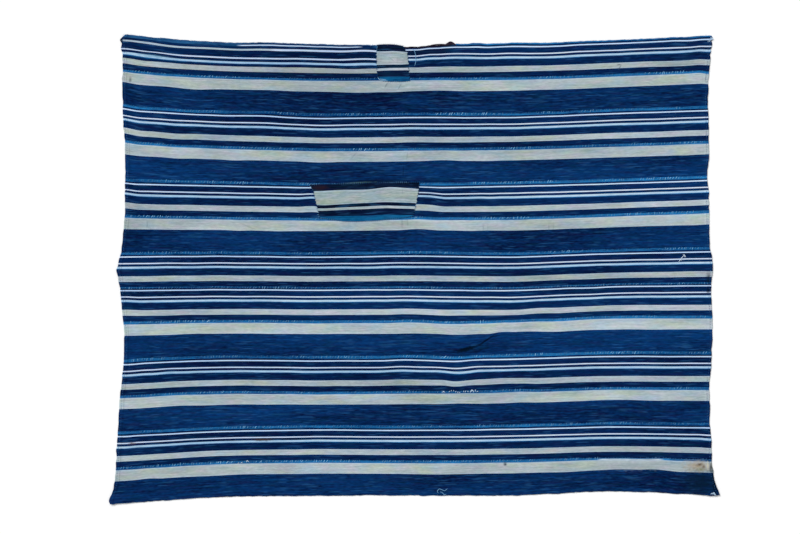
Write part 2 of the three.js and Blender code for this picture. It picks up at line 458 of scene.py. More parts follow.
LINES = tuple(
    SewnLine(number, left, right, heights)
    for number, (left, right, heights) in enumerate((
        (-731, 746, (583, 567, 562, 555, 565, 571, 583)),
        (-728, 736, (493, 480, 475, 476, 477, 484, 495)),
        (-728, 733, (406, 393, 386, 388, 388, 397, 405)),
        (-723, 736, (317, 305, 299, 300, 302, 309, 317)),
        (-722, 732, (222, 217, 212, 212, 216, 222, 230)),
        (-723, 737, (132, 128, 125, 127, 127, 135, 143)),
        (-733, 739, (40, 41, 39, 42, 39, 47, 52)),
        (-734, 742, (-48, -46, -47, -46, -48, -39, -36)),
        (-727, 745, (-134, -130, -131, -130, -132, -120, -119)),
        (-726, 743, (-227, -219, -220, -219, -216, -209, -209)),
        (-735, 737, (-318, -308, -309, -307, -305, -298, -298)),
        (-741, 738, (-408, -397, -393, -394, -391, -386, -387)),
        (-746, 743, (-497, -483, -480, -481, -479, -473, -476)),
        (-765, 763, (-585, -570, -567, -566, -566, -556, -566)),
    ))
)


class Graph:
    """Node tree under construction, for a material or for a shape that repeats."""

    def __init__(self, tree: bpy.types.NodeTree) -> None:
        """Start with an empty tree.

        Args:
            tree: The tree whose nodes are replaced.
        """
        self.tree = tree
        tree.nodes.clear()

    def node(
        self, kind: str, settings: dict | None = None, values: dict | None = None
    ) -> bpy.types.Node:
        """Add one node.

        Args:
            kind: The node's type.
            settings: Its own settings, set first; "stops" and "between" belong to its colour ramp.
            values: Numbers, wires or sockets for its inputs, by identifier, name or position.

        Returns:
            The new node.
        """
        made = self.tree.nodes.new(kind)
        for name, value in (settings or {}).items():
            if name == "stops":
                self._set_stops(made.color_ramp, value)
            elif name == "between":
                made.color_ramp.interpolation = value
            else:
                setattr(made, name, value)
        for key, value in (values or {}).items():
            socket = self._socket(made.inputs, key)
            if isinstance(value, Wire):
                self.tree.links.new(value.port, socket)
            elif isinstance(value, bpy.types.NodeSocket):
                self.tree.links.new(value, socket)
            else:
                socket.default_value = value
        return made

    @staticmethod
    def _socket(sockets: bpy.types.NodeInputs, key: int | str) -> bpy.types.NodeSocket:
        """Find a socket by its position, its identifier or its name."""
        if isinstance(key, int):
            return sockets[key]
        return next((s for s in sockets if s.identifier == key), None) or sockets[key]

    @staticmethod
    def _set_stops(ramp: bpy.types.ColorRamp, stops: Sequence[tuple]) -> None:
        """Give a colour ramp its stops.

        Args:
            ramp: The ramp, which starts with two stops.
            stops: A place and a colour for each stop, in order.
        """
        while len(ramp.elements) > 1:
            ramp.elements.remove(ramp.elements[-1])
        ramp.elements[0].position, ramp.elements[0].color = stops[0]
        for place, colour in stops[1:]:
            ramp.elements.new(place).color = colour

    def wire(
        self, kind: str, output: int | str, settings: dict | None = None, values: dict | None = None
    ) -> "Wire":
        """Add one node and take a number from one of its outputs."""
        return Wire(self, self.node(kind, settings, values).outputs[output])

    def vector(self, x: "Number", y: "Number", z: "Number" = 0.0) -> bpy.types.NodeSocket:
        """Join three numbers into a vector."""
        return self.node("ShaderNodeCombineXYZ", values={"X": x, "Y": y, "Z": z}).outputs[0]

    def noise(self, place: bpy.types.NodeSocket, detail: float = 1.0) -> "Wire":
        """Smooth noise with features of about one unit, from 0 to 1 around a half."""
        values = {"Vector": place, "Scale": 1.0, "Detail": detail, "Roughness": 0.5}
        return self.wire("ShaderNodeTexNoise", 0, {"noise_dimensions": "3D"}, values)

    def mix(
        self, share: "Number", first: "Paint", second: "Paint", blend: str = "MIX"
    ) -> bpy.types.NodeSocket:
        """Mix two colours.

        Args:
            share: How much of the second colour shows.
            first: The colour at no share.
            second: The colour at full share.
            blend: How they combine.

        Returns:
            The mixed colour's socket.
        """
        settings = {"data_type": "RGBA", "blend_type": blend, "clamp_factor": True}
        values = {"Factor_Float": share, "A_Color": first, "B_Color": second}
        made = self.node("ShaderNodeMix", settings, values)
        return next(s for s in made.outputs if s.identifier == "Result_Color")


@dataclass(frozen=True)
class Wire:
    """Number carried by a node's output. Arithmetic on wires adds Math nodes."""

    graph: Graph
    port: bpy.types.NodeSocket

    def _math(self, operation: str, *terms: "Number") -> "Wire":
        """Add one Math node on the given terms."""
        return self.graph.wire("ShaderNodeMath", 0, {"operation": operation}, dict(enumerate(terms)))

    def __add__(self, other: "Number") -> "Wire":
        """Sum."""
        return self._math("ADD", self, other)

    __radd__ = __add__

    def __sub__(self, other: "Number") -> "Wire":
        """Difference."""
        return self._math("SUBTRACT", self, other)

    def __rsub__(self, other: "Number") -> "Wire":
        """Difference from a number."""
        return self._math("SUBTRACT", other, self)

    def __mul__(self, other: "Number") -> "Wire":
        """Product."""
        return self._math("MULTIPLY", self, other)

    __rmul__ = __mul__

    def __truediv__(self, other: "Number") -> "Wire":
        """Quotient."""
        return self._math("DIVIDE", self, other)

    def __pow__(self, other: "Number") -> "Wire":
        """Power."""
        return self._math("POWER", self, other)

    def __mod__(self, other: "Number") -> "Wire":
        """Remainder."""
        return self._math("FLOORED_MODULO", self, other)

    def floor(self) -> "Wire":
        """Whole part."""
        return self._math("FLOOR", self)

    def size(self) -> "Wire":
        """Value without its sign."""
        return self._math("ABSOLUTE", self)

    def sine(self) -> "Wire":
        """Sine of an angle in radians."""
        return self._math("SINE", self)

    def clamped(self) -> "Wire":
        """Value kept between 0 and 1."""
        return self._math("MINIMUM", self._math("MAXIMUM", self, 0.0), 1.0)

    def stretched(self, gain: float) -> "Wire":
        """Noise around a half, stretched by a gain and kept between 0 and 1."""
        return ((self - 0.5) * gain + 0.5).clamped()


Number = Wire | float
Paint = bpy.types.NodeSocket | tuple[float, float, float, float]


def seen_as(red: float, green: float, blue: float, alpha: float = 1.0) -> tuple[float, float, float, float]:
    """Surface colour that shows as given 0 to 255 values under the studio's light.

    Args:
        red: Red as seen.
        green: Green as seen.
        blue: Blue as seen.
        alpha: Passed on as it is.

    Returns:
        The surface's own linear colour.
    """
    linear = (
        v / 12.92 if v <= 0.04045 else ((v + 0.055) / 1.055) ** 2.4
        for v in (red / 255, green / 255, blue / 255)
    )
    return (*(value / LIGHT_LEVEL for value in linear), alpha)


@dataclass(frozen=True)
class Yarn:
    """Dyed yarn: how it shows where the dye took deepest and where it has faded.

    Attributes:
        deep: Colour where the dye is deepest, as seen.
        faded: Colour where it is palest, as seen.
        paleness: 1 for an undyed yarn, which has a tint that wanders, and 0 for a dark one.
    """

    deep: tuple[float, float, float]
    faded: tuple[float, float, float]
    paleness: float


NAVY = Yarn((0, 17, 57), (4, 50, 107), 0.0)
INDIGO = Yarn((0, 16, 56), (8, 68, 134), 0.0)
FADED_INDIGO = Yarn((0, 60, 118), (46, 146, 216), 0.0)
DULL_INDIGO = Yarn((0, 40, 86), (50, 116, 172), 0.0)
SKY = Yarn((164, 206, 242), (214, 242, 260), 0.2)
WHITE = Yarn((192, 226, 266), (232, 254, 276), 0.3)
SOFT_WHITE = Yarn((197, 222, 255), (237, 250, 265), 0.3)
EDGE_WHITE = Yarn((162, 188, 205), (212, 230, 243), 0.4)
GREY_WHITE = Yarn((163, 177, 183), (212, 225, 230), 1.0)
BROAD_WHITE = Yarn((166, 182, 186), (214, 228, 231), 1.0)
CREAM = Yarn((150, 170, 170), (212, 226, 228), 1.0)
BRIGHT_BLUE = Yarn((0, 72, 122), (26, 126, 182), 0.0)
INK = Yarn((0, 6, 28), (16, 34, 66), 0.0)
WORN = Yarn((112, 134, 138), (164, 178, 180), 1.0)
DARK_NAVY = Yarn((0, 12, 42), (14, 36, 78), 0.0)
BROWN_BLACK = Yarn((14, 8, 20), (40, 28, 42), 0.0)


@dataclass(frozen=True)
class Band:
    """Stripe of one yarn, from a share of the strip's width to where the next one starts."""

    start: float
    yarn: Yarn


class Layout(Enum):
    """Stripes across a strip, from its upper edge down."""

    BANDED = (
        Band(0.0, FADED_INDIGO), Band(0.050, NAVY), Band(0.0935, WHITE), Band(0.128, NAVY),
        Band(0.2845, SOFT_WHITE), Band(0.319, NAVY), Band(0.387, SKY), Band(0.441, FADED_INDIGO),
        Band(0.464, NAVY), Band(0.660, EDGE_WHITE), Band(0.68, GREY_WHITE), Band(0.80, EDGE_WHITE),
        Band(0.820, NAVY), Band(0.972, FADED_INDIGO),
    )
    NARROW_BANDED = (
        Band(0.0, DULL_INDIGO), Band(0.102, NAVY), Band(0.176, EDGE_WHITE), Band(0.222, NAVY),
        Band(0.419, SOFT_WHITE), Band(0.463, NAVY), Band(0.540, SKY), Band(0.598, FADED_INDIGO),
        Band(0.616, NAVY), Band(0.684, GREY_WHITE), Band(0.829, NAVY), Band(0.985, FADED_INDIGO),
    )
    BROAD = (
        Band(0.0, FADED_INDIGO), Band(0.052, EDGE_WHITE), Band(0.082, BROAD_WHITE),
        Band(0.33, EDGE_WHITE), Band(0.3525, INDIGO), Band(0.972, FADED_INDIGO),
    )
    PATCH = (
        Band(0.0, INK), Band(0.164, EDGE_WHITE), Band(0.19, CREAM), Band(0.232, WORN), Band(0.242, CREAM),
        Band(0.53, EDGE_WHITE), Band(0.548, INK), Band(0.634, EDGE_WHITE), Band(0.65, BROAD_WHITE),
        Band(0.698, EDGE_WHITE), Band(0.706, DARK_NAVY), Band(0.868, BRIGHT_BLUE),
    )


@dataclass(frozen=True)
class Inlay:
    """Stripe that shows in one length of a strip only.

    Attributes:
        start: Where it starts across the strip, as a share.
        stop: Where it stops across the strip.
        left: Where it starts along the strip, in mm.
        right: Where it stops along the strip, in mm.
        yarn: Its yarn.
    """

    start: float
    stop: float
    left: float
    right: float
    yarn: Yarn

    def over(
        self, graph: Graph, colour: bpy.types.NodeSocket, along: Wire, share: Wire, dye: Wire
    ) -> bpy.types.NodeSocket:
        """Lay the stripe over a colour.

        Args:
            graph: The material's tree.
            colour: The cloth's colour.
            along: Place along the strip, in mm.
            share: Place across it, as a share.
            dye: How faded the yarn is.

        Returns:
            The colour with the stripe in it.
        """
        middle, half = (self.left + self.right) / 2, (self.right - self.left) / 2
        along_it = ((half - (along - middle).size()) / 14.0).clamped()
        centre, reach = (self.start + self.stop) / 2, (self.stop - self.start) / 2
        across_it = ((reach - (share - centre).size()) * 150.0 + 0.5).clamped()
        yarn = graph.mix(dye, seen_as(*self.yarn.deep), seen_as(*self.yarn.faded))
        return graph.mix(along_it * across_it, colour, yarn)


@dataclass(frozen=True)
class StainOrShade(Oval):
    """Mark on the cloth: some are real discolouring, others lines of painted shade along a crease or beside a
    patch's edge.

    Attributes:
        colour: What it turns the cloth towards, as seen.
        strength: How much of the cloth's own colour it hides at its middle.
    """

    colour: tuple[float, float, float]
    strength: float

    def over(self, graph: Graph, colour: bpy.types.NodeSocket, x: Wire, y: Wire) -> bpy.types.NodeSocket:
        """Lay the mark, real or painted shade, over a colour.

        Args:
            graph: The material's tree.
            colour: The cloth's colour.
            x: Place along the strips, in mm.
            y: Place across them, in mm.

        Returns:
            The colour with the mark in it.
        """
        ragged = graph.noise(graph.vector(x * 0.12, y * 0.12, self.x), 3.0) - 0.5
        nearness = (1.0 - self.apart(x, y) ** 0.5 + ragged * 1.2).clamped()
        return graph.mix(nearness * self.strength, colour, seen_as(*self.colour))


@dataclass(frozen=True)
class HandwovenCloth:
    """Finish of a warp-striped handwoven cotton strip.

    Attributes:
        name: The material's name.
        layout: Its stripes.
        seed: What makes its streaks its own.
        width: Width of the strip, in mm.
        inlays: Stripes that show in one length of it only.
        stains_and_shade: Marks on it, some real discolouring and some lines of painted shade along creases or
            beside a patch's edge.
        creases: Fine creases in it, raised in the shading with a bump and darkened along their middle with
            painted shade.
        thread: Width of one warp yarn, in mm.
        bundle: Number of neighbouring yarns that took the dye alike.
        pick: Distance from one weft yarn to the next, in mm.
        sway: How far a stripe wanders from its place, as a share of the width.
        yarn_height: How far a yarn stands up between two others, in mm.
    """

    name: str
    layout: Layout
    seed: int
    width: float = 88.0
    inlays: tuple[Inlay, ...] = ()
    stains_and_shade: tuple[StainOrShade, ...] = ()
    creases: tuple[Hill, ...] = ()
    thread: float = 0.6
    bundle: int = 4
    pick: float = 1.15
    sway: float = 0.012
    yarn_height: float = 0.25
    roughness: float = 0.9

    def material(self) -> bpy.types.Material:
        """Build the finish.

        Returns:
            A material that reads the piece's own map of the weave: metres along, share across.
        """
        made = bpy.data.materials.new(self.name)
        made.use_nodes = True
        graph = Graph(made.node_tree)
        weave = graph.node("ShaderNodeUVMap", {"uv_map": UV_NAME}).outputs[0]
        split = graph.node("ShaderNodeSeparateXYZ", values={0: weave})
        along = Wire(graph, split.outputs["X"]) * (1 / MM)
        share = Wire(graph, split.outputs["Y"])
        yarns = self.width / self.thread
        swayed = share + (self._noise(graph, along / 70, share * 2.2, 1) - 0.5) * self.sway
        yarn = (swayed * yarns).floor()
        place = (yarn + 0.5) / yarns
        spot = graph.node("ShaderNodeTexCoord").outputs["Object"]
        at = graph.node("ShaderNodeSeparateXYZ", values={0: spot})
        x = Wire(graph, at.outputs["X"]) * (1 / MM) + CENTRE_X
        y = Wire(graph, at.outputs["Y"]) * (1 / MM) + CENTRE_Y
        faded = sum(hill.shaded(x, y) for hill in FADES)
        colour, paleness = self._dyed(graph, along, share, yarn, place, faded)
        colour = self._tinted(graph, colour, paleness, along, share * self.width)
        relief = self._relief(graph, along, swayed * yarns, yarn)
        # Painted shade in the hollows between the yarns, darkest where their relief is lowest.
        colour = graph.mix((1.0 - relief) * 0.35, colour, (0.45, 0.45, 0.5, 1.0), "MULTIPLY")
        height = relief * self.yarn_height
        for mark in self.stains_and_shade:
            colour = mark.over(graph, colour, x, y)
        for crease in self.creases:
            fold = crease.shaded(x, y)
            height = height + fold
            # Painted shade along each fine crease, darkest along its middle.
            colour = graph.mix(fold.size() * 0.42, colour, (0.3, 0.36, 0.42, 1.0), "MULTIPLY")
        self._finish(graph, colour, height)
        return made

    def _noise(self, graph: Graph, x: "Number", y: "Number", part: int, detail: float = 1.0) -> Wire:
        """Noise of this cloth's own, a different one for each part of the finish."""
        return graph.noise(graph.vector(x, y, self.seed * 5.3 + part * 17.7), detail)

    def _ramp(self, graph: Graph, place: Wire, faded: bool) -> bpy.types.Node:
        """Colour of each stripe at a place across the strip, deep or faded, with its paleness as alpha."""
        stops = [
            (band.start, seen_as(*(band.yarn.faded if faded else band.yarn.deep), band.yarn.paleness))
            for band in self.layout.value
        ]
        settings = {"stops": stops, "between": "CONSTANT"}
        return graph.node("ShaderNodeValToRGB", settings, {0: place})

    def _dyed(
        self, graph: Graph, along: Wire, share: Wire, yarn: Wire, place: Wire, faded: Wire
    ) -> tuple[bpy.types.NodeSocket, Wire]:
        """Stripes in uneven dye, which streaks along the yarns.

        Args:
            graph: The material's tree.
            along: Place along the strip, in mm.
            share: Place across it, as a share.
            yarn: Number of the warp yarn.
            place: Middle of that yarn, as a share.
            faded: How much more the dye has faded there.

        Returns:
            The colour, and how pale the yarn is.
        """
        bundle = (yarn / self.bundle).floor() * 3.7
        fine = self._noise(graph, along / 24, yarn * 3.7, 2)
        fleck = self._noise(graph, along / 10, bundle, 3, 0.0)
        streak = self._noise(graph, along / 84, bundle, 4, 2.0)
        patchy = self._noise(graph, along / 420, share * 1.4, 5, 1.0)
        dye = 0.37 + (fine - 0.5) * 0.85 + (fleck - 0.5) * 0.6 + (streak - 0.5) * 1.1
        dye = (dye + (patchy - 0.5) * 1.1 + faded).clamped()
        deep, pale = self._ramp(graph, place, False), self._ramp(graph, place, True)
        paleness = Wire(graph, deep.outputs["Alpha"])
        colour = graph.mix(dye, deep.outputs["Color"], pale.outputs["Color"])
        worn = ((self._noise(graph, along / 44, bundle + 0.5, 6, 1.0) - 0.575) * 7.0).clamped()
        colour = graph.mix(worn * (1.0 - paleness * 3.0).clamped() * 0.24, colour, seen_as(58, 126, 186))
        for inlay in self.inlays:
            colour = inlay.over(graph, colour, along, place, dye)
        return colour, paleness

    def _tinted(
        self, graph: Graph, colour: bpy.types.NodeSocket, paleness: Wire, x: Wire, y: Wire
    ) -> bpy.types.NodeSocket:
        """Greenish, bluish and pinkish tints that wander over the undyed yarns, and fainter ones on the dark.

        Args:
            graph: The material's tree.
            colour: The dyed colour.
            paleness: How much of a tint the yarn takes.
            x: Place along the strip, in mm.
            y: Place across it, in mm.

        Returns:
            The tinted colour.
        """
        tints = (
            (80, 26, (1.02, 1.02, 0.85, 1.0)),
            (60, 18, (0.86, 0.97, 1.06, 1.0)),
            (34, 12, (1.08, 0.96, 1.04, 1.0)),
            (120, 60, (0.88, 0.88, 0.89, 1.0)),
        )
        for part, (length, width, tint) in enumerate(tints, start=7):
            spread = self._noise(graph, x / length, y / width, part, 2.0)
            amount = ((spread - 0.47) * 5.0).clamped() * paleness
            colour = graph.mix(amount, colour, tint, "MULTIPLY")
        dark = (1.0 - paleness * 3.0).clamped() * 0.22
        for part, tint in ((12, (34, 32, 88)), (13, (0, 62, 84))):
            spread = self._noise(graph, x / 48, y / 5, part, 1.0)
            colour = graph.mix(((spread - 0.52) * 6.0).clamped() * dark, colour, seen_as(*tint))
        return colour

    def _relief(self, graph: Graph, along: Wire, across: Wire, yarn: Wire) -> Wire:
        """Roundness of the warp yarns as they pass over and under the weft, from 0 to 1."""
        ridge = (across * math.pi).sine().size()
        over = ((along / self.pick + yarn * 0.5) * (2 * math.pi)).sine()
        return ridge * (0.72 + over * 0.28)

    def _finish(self, graph: Graph, colour: bpy.types.NodeSocket, height: Wire) -> None:
        """Join the colour and the height in mm in the shader."""
        normal = graph.node(
            "ShaderNodeBump", values={"Strength": 0.8, "Distance": MM, "Height": height}
        ).outputs[0]
        shader = graph.node("ShaderNodeBsdfPrincipled", values={
            "Base Color": colour, "Roughness": self.roughness, "Specular IOR Level": 0.025,
            "Sheen Weight": 0.015, "Sheen Roughness": 0.6, "Sheen Tint": (0.4, 0.7, 1.0, 1.0),
            "Normal": normal,
        })
        graph.node("ShaderNodeOutputMaterial", values={"Surface": shader.outputs[0]})


@dataclass(frozen=True)
class SewingThread:
    """Finish of the hand-spun thread in the stitches and loose ends.

    Attributes:
        name: The material's name.
        dark: Its colour where it is dyed, as seen.
        pale: Its colour where the dye has faded, as seen.
        white: Its colour where it was never dyed, as seen.
        twist: Length of one turn of the thread, in mm.
    """

    name: str
    dark: tuple[float, float, float] = (30, 92, 150)
    pale: tuple[float, float, float] = (146, 206, 246)
    white: tuple[float, float, float] = (222, 238, 252)
    twist: float = 1.1

    def material(self) -> bpy.types.Material:
        """Build the finish, which reads each stitch's own paleness: 0 dark, 1 pale and 2 white."""
        made = bpy.data.materials.new(self.name)
        made.use_nodes = True
        graph = Graph(made.node_tree)
        paleness = graph.wire("ShaderNodeAttribute", "Fac", {"attribute_name": "pale"})
        spot = graph.node("ShaderNodeTexCoord").outputs["Object"]
        at = graph.node("ShaderNodeSeparateXYZ", values={0: spot})
        x, y, z = (Wire(graph, at.outputs[axis]) * (1 / MM) for axis in "XYZ")
        fibre = ((x + y * 1.3 + z) * (2 * math.pi / self.twist)).sine() * 0.5 + 0.5
        uneven = graph.noise(graph.vector(x * 0.4, y * 0.4, z * 0.4), 2.0).stretched(1.8)
        colour = graph.mix(paleness.clamped(), seen_as(*self.dark), seen_as(*self.pale))
        colour = graph.mix((paleness - 1.0).clamped(), colour, seen_as(*self.white))
        # Darker in the grooves of the twist, which is painted shade, and in random patches along the thread.
        colour = graph.mix((1.0 - fibre) * 0.25 + uneven * 0.25, colour, (0.5, 0.62, 0.75, 1.0), "MULTIPLY")
        normal = graph.node(
            "ShaderNodeBump", values={"Strength": 0.6, "Distance": 0.15 * MM, "Height": fibre}
        ).outputs[0]
        shader = graph.node("ShaderNodeBsdfPrincipled", values={
            "Base Color": colour, "Roughness": 0.85, "Specular IOR Level": 0.06, "Normal": normal,
        })
        graph.node("ShaderNodeOutputMaterial", values={"Surface": shader.outputs[0]})
        return made


def add_piece(name: str, mesh: bpy.types.Mesh, material: bpy.types.Material) -> bpy.types.Object:
    """Put a finished mesh in the scene as one piece at the origin.

    Args:
        name: The piece's name.
        mesh: Its mesh, in metres.
        material: Its finish.

    Returns:
        The new object.
    """
    piece = bpy.data.objects.new(name, mesh)
    bpy.context.scene.collection.objects.link(piece)
    mesh.name = name
    mesh.materials.clear()
    mesh.materials.append(material)
    return piece


def report(piece: bpy.types.Object) -> None:
    """Say what a finished piece is called and how many faces it has."""
    LOG.info("%s: %d faces", piece.name, len(piece.data.polygons))


@dataclass
class ClothGrid:
    """Points of a sheet of cloth, rows from its upper edge down and columns from left to right.

    Attributes:
        x: Place along the strips, in mm.
        y: Place across them, in mm.
        low: Height of the underside, in mm.
        high: Height of the upper side, in mm.
        share: Place across the weave's stripes, from 0 to 1.
    """

    x: np.ndarray
    y: np.ndarray
    low: np.ndarray
    high: np.ndarray
    share: np.ndarray

    def mesh(self, name: str) -> bpy.types.Mesh:
        """Closed mesh of the sheet, with its map of the weave.

        Args:
            name: The mesh's name.

        Returns:
            A mesh in metres whose faces point outwards.
        """
        rows, columns = self.x.shape
        top = np.arange(rows * columns).reshape(rows, columns)
        under = top + rows * columns
        quads = np.concatenate([
            self._quads(top[:-1, :-1], top[1:, :-1], top[1:, 1:], top[:-1, 1:]),
            self._quads(under[:-1, :-1], under[:-1, 1:], under[1:, 1:], under[1:, :-1]),
            self._quads(top[0, :-1], top[0, 1:], under[0, 1:], under[0, :-1]),
            self._quads(top[-1, 1:], top[-1, :-1], under[-1, :-1], under[-1, 1:]),
            self._quads(top[1:, 0], top[:-1, 0], under[:-1, 0], under[1:, 0]),
            self._quads(top[:-1, -1], top[1:, -1], under[1:, -1], under[:-1, -1]),
        ])
        flat = np.stack([self.x - CENTRE_X, self.y - CENTRE_Y], axis=-1).reshape(-1, 2)
        heights = np.concatenate([self.high.ravel(), self.low.ravel()])
        points = np.column_stack([np.tile(flat, (2, 1)), heights]) * MM
        made = bpy.data.meshes.new(name)
        made.from_pydata(points.tolist(), [], quads.tolist())
        made.polygons.foreach_set("use_smooth", np.ones(len(quads), bool))
        weave = np.column_stack([self.x.ravel() * MM, self.share.ravel()])
        layer = made.uv_layers.new(name=UV_NAME)
        layer.uv.foreach_set("vector", np.tile(weave, (2, 1))[quads.ravel()].ravel())
        made.update()
        return made

    @staticmethod
    def _quads(*corners: np.ndarray) -> np.ndarray:
        """Faces from the arrays of their four corners."""
        return np.stack([corner.ravel() for corner in corners], axis=-1)


def rounded(from_rim: np.ndarray, thickness: np.ndarray) -> np.ndarray:
    """Half the thickness of a cloth near its rim, which is rounded.

    Args:
        from_rim: Distance from the rim, in mm.
        thickness: Full thickness of the cloth there, in mm.

    Returns:
        Half the thickness, down to a narrow wall at the rim itself.
    """
    radius = thickness / 2
    inwards = np.clip(1 - from_rim / radius, 0, 0.97)
    return radius * np.sqrt(1 - inwards**2)


@dataclass(frozen=True)
class Hem:
    """End of a strip, turned under itself and sewn down with running stitches."""

    thickness: float = 2.8
    width: float = 10.0
    step: float = 1.5
    stitched_at: float = 5.5
    dimple: float = 0.35
    columns: tuple[float, ...] = (0, 0.25, 0.7, 1.4, 3.2, 4.6, 5.5, 6.4, 8.2, 10, 10.6, 11.5, 13, 16, 20)

    def extra(self, from_fold: np.ndarray) -> np.ndarray:
        """Thickness that the turned cloth adds, in mm."""
        turned = 1 - ease((from_fold - self.width) / self.step)
        return (self.thickness - CLOTH) * turned

    def drawn(self, from_fold: np.ndarray) -> np.ndarray:
        """How far the stitches draw the upper side down, in mm."""
        return self.dimple * bump((from_fold - self.stitched_at) / 1.6)

    def parting(self, from_fold: np.ndarray) -> np.ndarray:
        """Depth of the groove underneath, beside the turned edge, in mm."""
        return 0.5 * bump((from_fold - self.width - 0.7) / 0.9)


@dataclass(frozen=True)
class Strip:
    """One length of narrow handwoven strip.

    Attributes:
        name: Its node's name.
        line: Number of the sewn line above it.
        cloth: Its finish.
        slot: Name of its material slot, banded or broad cloth; not used.
        left_bow: How far its left hem bows to the right, in mm, or None where it is joined.
        right_bow: How far its right hem bows to the right, in mm, or None where it is joined.
        lie: How the cloth lies.
        first_share: Place in the layout at its upper edge; more than 0 where it was cut or turned.
        last_share: Place in the layout at its lower edge.
        hem: Its hem.
        pitch: Length of a column of the mesh, in mm.
        rim: Distances of the rows nearest to a woven edge, in mm.
        inner_rows: Rows of the mesh between two sewn edges.
        outer_rows: Rows where one edge is the cloth's own, which is more ragged.
    """

    name: str
    line: int
    cloth: HandwovenCloth
    slot: str
    left_bow: float | None
    right_bow: float | None
    lie: Lie
    first_share: float = 0.0
    last_share: float = 1.0
    hem: Hem = Hem()
    pitch: float = 5.0
    rim: tuple[float, ...] = (0, 0.18, 0.5, 1.2, 3)
    inner_rows: int = 20
    outer_rows: int = 34

    @property
    def upper(self) -> SewnLine:
        """Line above the strip."""
        return LINES[self.line]

    @property
    def lower(self) -> SewnLine:
        """Line below the strip."""
        return LINES[self.line + 1]

    def _end(self, share: np.ndarray, side: str) -> np.ndarray:
        """Where one end of the strip stands at a share of its width, in mm."""
        bow = self.left_bow if side == "left" else self.right_bow
        if bow is None:
            return np.full_like(share, JOIN + (SEAM_GAP / 2 if side == "left" else -SEAM_GAP / 2))
        first, last = getattr(self.upper, side), getattr(self.lower, side)
        return first + (last - first) * share + bow * 4 * share * (1 - share)

    def _grid(self) -> ClothGrid:
        """Points of the strip.

        Returns:
            Its rows and columns, with both sides' heights.
        """
        width = float(self.upper.height(0.0) - self.lower.height(0.0))
        rim = np.array(self.rim) / width
        rows = self.outer_rows if self.line in (0, len(LINES) - 2) else self.inner_rows
        share = np.concatenate([rim[:-1], np.linspace(rim[-1], 1 - rim[-1], rows), 1 - rim[-2::-1]])
        left, right = self._end(share, "left")[:, None], self._end(share, "right")[:, None]
        hem = np.array(self.hem.columns)[None, :]
        inner = round((JOIN - left[0, 0] if self.right_bow is None else right[0, 0] - left[0, 0]) / self.pitch)
        inner = np.linspace(0, 1, max(inner, 2))[None, 1:-1]
        start, stop = left + hem[0, -1], right - hem[0, -1]
        x = np.concatenate([left + hem, start + (stop - start) * inner, right - hem[:, ::-1]], axis=1)
        share = np.repeat(share[:, None], x.shape[1], axis=1)
        above, below = self.upper.height(x) - SEAM_GAP / 2, self.lower.height(x) + SEAM_GAP / 2
        y = above + (below - above) * share
        from_edge = np.minimum(share, 1 - share) * width
        from_left = x - left if self.left_bow is not None else np.full_like(x, 99.0)
        from_right = right - x if self.right_bow is not None else np.full_like(x, 99.0)
        from_fold = np.minimum(from_left, from_right)
        lift = self.lie.lift(x, y)
        near_upper, near_lower = share * width, (1 - share) * width
        for line, away in ((self.upper, near_upper), (self.lower, near_lower)):
            lift = lift + line.pucker(x) * np.exp(-away / 8)
        plain = SELVEDGE + (CLOTH - SELVEDGE) * ease(from_edge / SELVEDGE_WIDTH)
        thickness = plain + self.hem.extra(from_fold)
        half = rounded(np.minimum(from_edge, from_fold), thickness)
        low = lift + thickness / 2 - half + self.hem.parting(from_fold)
        high = lift + thickness / 2 + half - self.hem.drawn(from_fold)
        tuck = self.lie.tuck(x, y)
        y = y + self.lie.shift(x, y) + self._ragged(x, share * width, (1 - share) * width)
        x = x + self._uneven_fold(y, from_left, from_right) + tuck
        place = self.first_share + (self.last_share - self.first_share) * share
        return ClothGrid(x, y, low, high, place)

    def _ragged(self, x: np.ndarray, from_top: np.ndarray, from_foot: np.ndarray) -> np.ndarray:
        """Unevenness of the cloth's own top and bottom edges, in mm."""
        uneven = Wander(seed=60 + self.line, length=9).at(x) - 0.5
        if self.line == 0:
            return 1.5 * uneven * np.exp(-from_top / 4)
        if self.line == len(LINES) - 2:
            return 1.5 * uneven * np.exp(-from_foot / 4)
        return np.zeros_like(x)

    def _uneven_fold(self, y: np.ndarray, from_left: np.ndarray, from_right: np.ndarray) -> np.ndarray:
        """Unevenness of the hems' folds, in mm."""
        left = (Wander(seed=70, length=11).at(y) - 0.5) * np.exp(-from_left / 9)
        right = (Wander(seed=71, length=11).at(y) - 0.5) * np.exp(-from_right / 9)
        return 1.8 * (left + right)

    def hem_guide(self, side: str) -> "Guide":
        """Line of the running stitches over one hem.

        Args:
            side: Which end, "left" or "right".

        Returns:
            A guide line across the strip, on its upper side.
        """
        grid = self._grid()
        column = self.hem.columns.index(self.hem.stitched_at)
        column = column if side == "left" else -1 - column
        points = np.column_stack([grid.x[2:-2, column], grid.y[2:-2, column], grid.high[2:-2, column] + 0.1])
        seed = 90 if side == "left" else 91
        return Guide(points, 0.1 + 0.6 * Wander(seed=seed, length=16).at(points[:, 1]))

    def flat_size(self) -> tuple[float, float]:
        """Width and length that the strip was cut to, with its turned ends, in metres."""
        places = np.linspace(-700, 700, 29)
        width = float(np.mean(self.upper.height(places) - self.lower.height(places)))
        middle = np.array([0.5])
        length = float(self._end(middle, "right")[0] - self._end(middle, "left")[0])
        hems = (self.left_bow is not None) + (self.right_bow is not None)
        return round(width * MM, 4), round((length + hems * self.hem.width) * MM, 4)

    def build(self) -> bpy.types.Object:
        """Make the strip in place of its imported part.

        Returns:
            The finished piece.
        """
        piece = add_piece(f"cloth_{self.name}", self._grid().mesh(self.name), self.cloth.material())
        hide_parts(self.name)
        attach(piece, BODY)
        self.flat_size()
        report(piece)
        return piece


@dataclass(frozen=True)
class PatchRow:
    """Row of a patch: its two ends, its heights at five even places, and its place in the stripes."""

    left: float
    right: float
    heights: tuple[float, ...]
    share: float


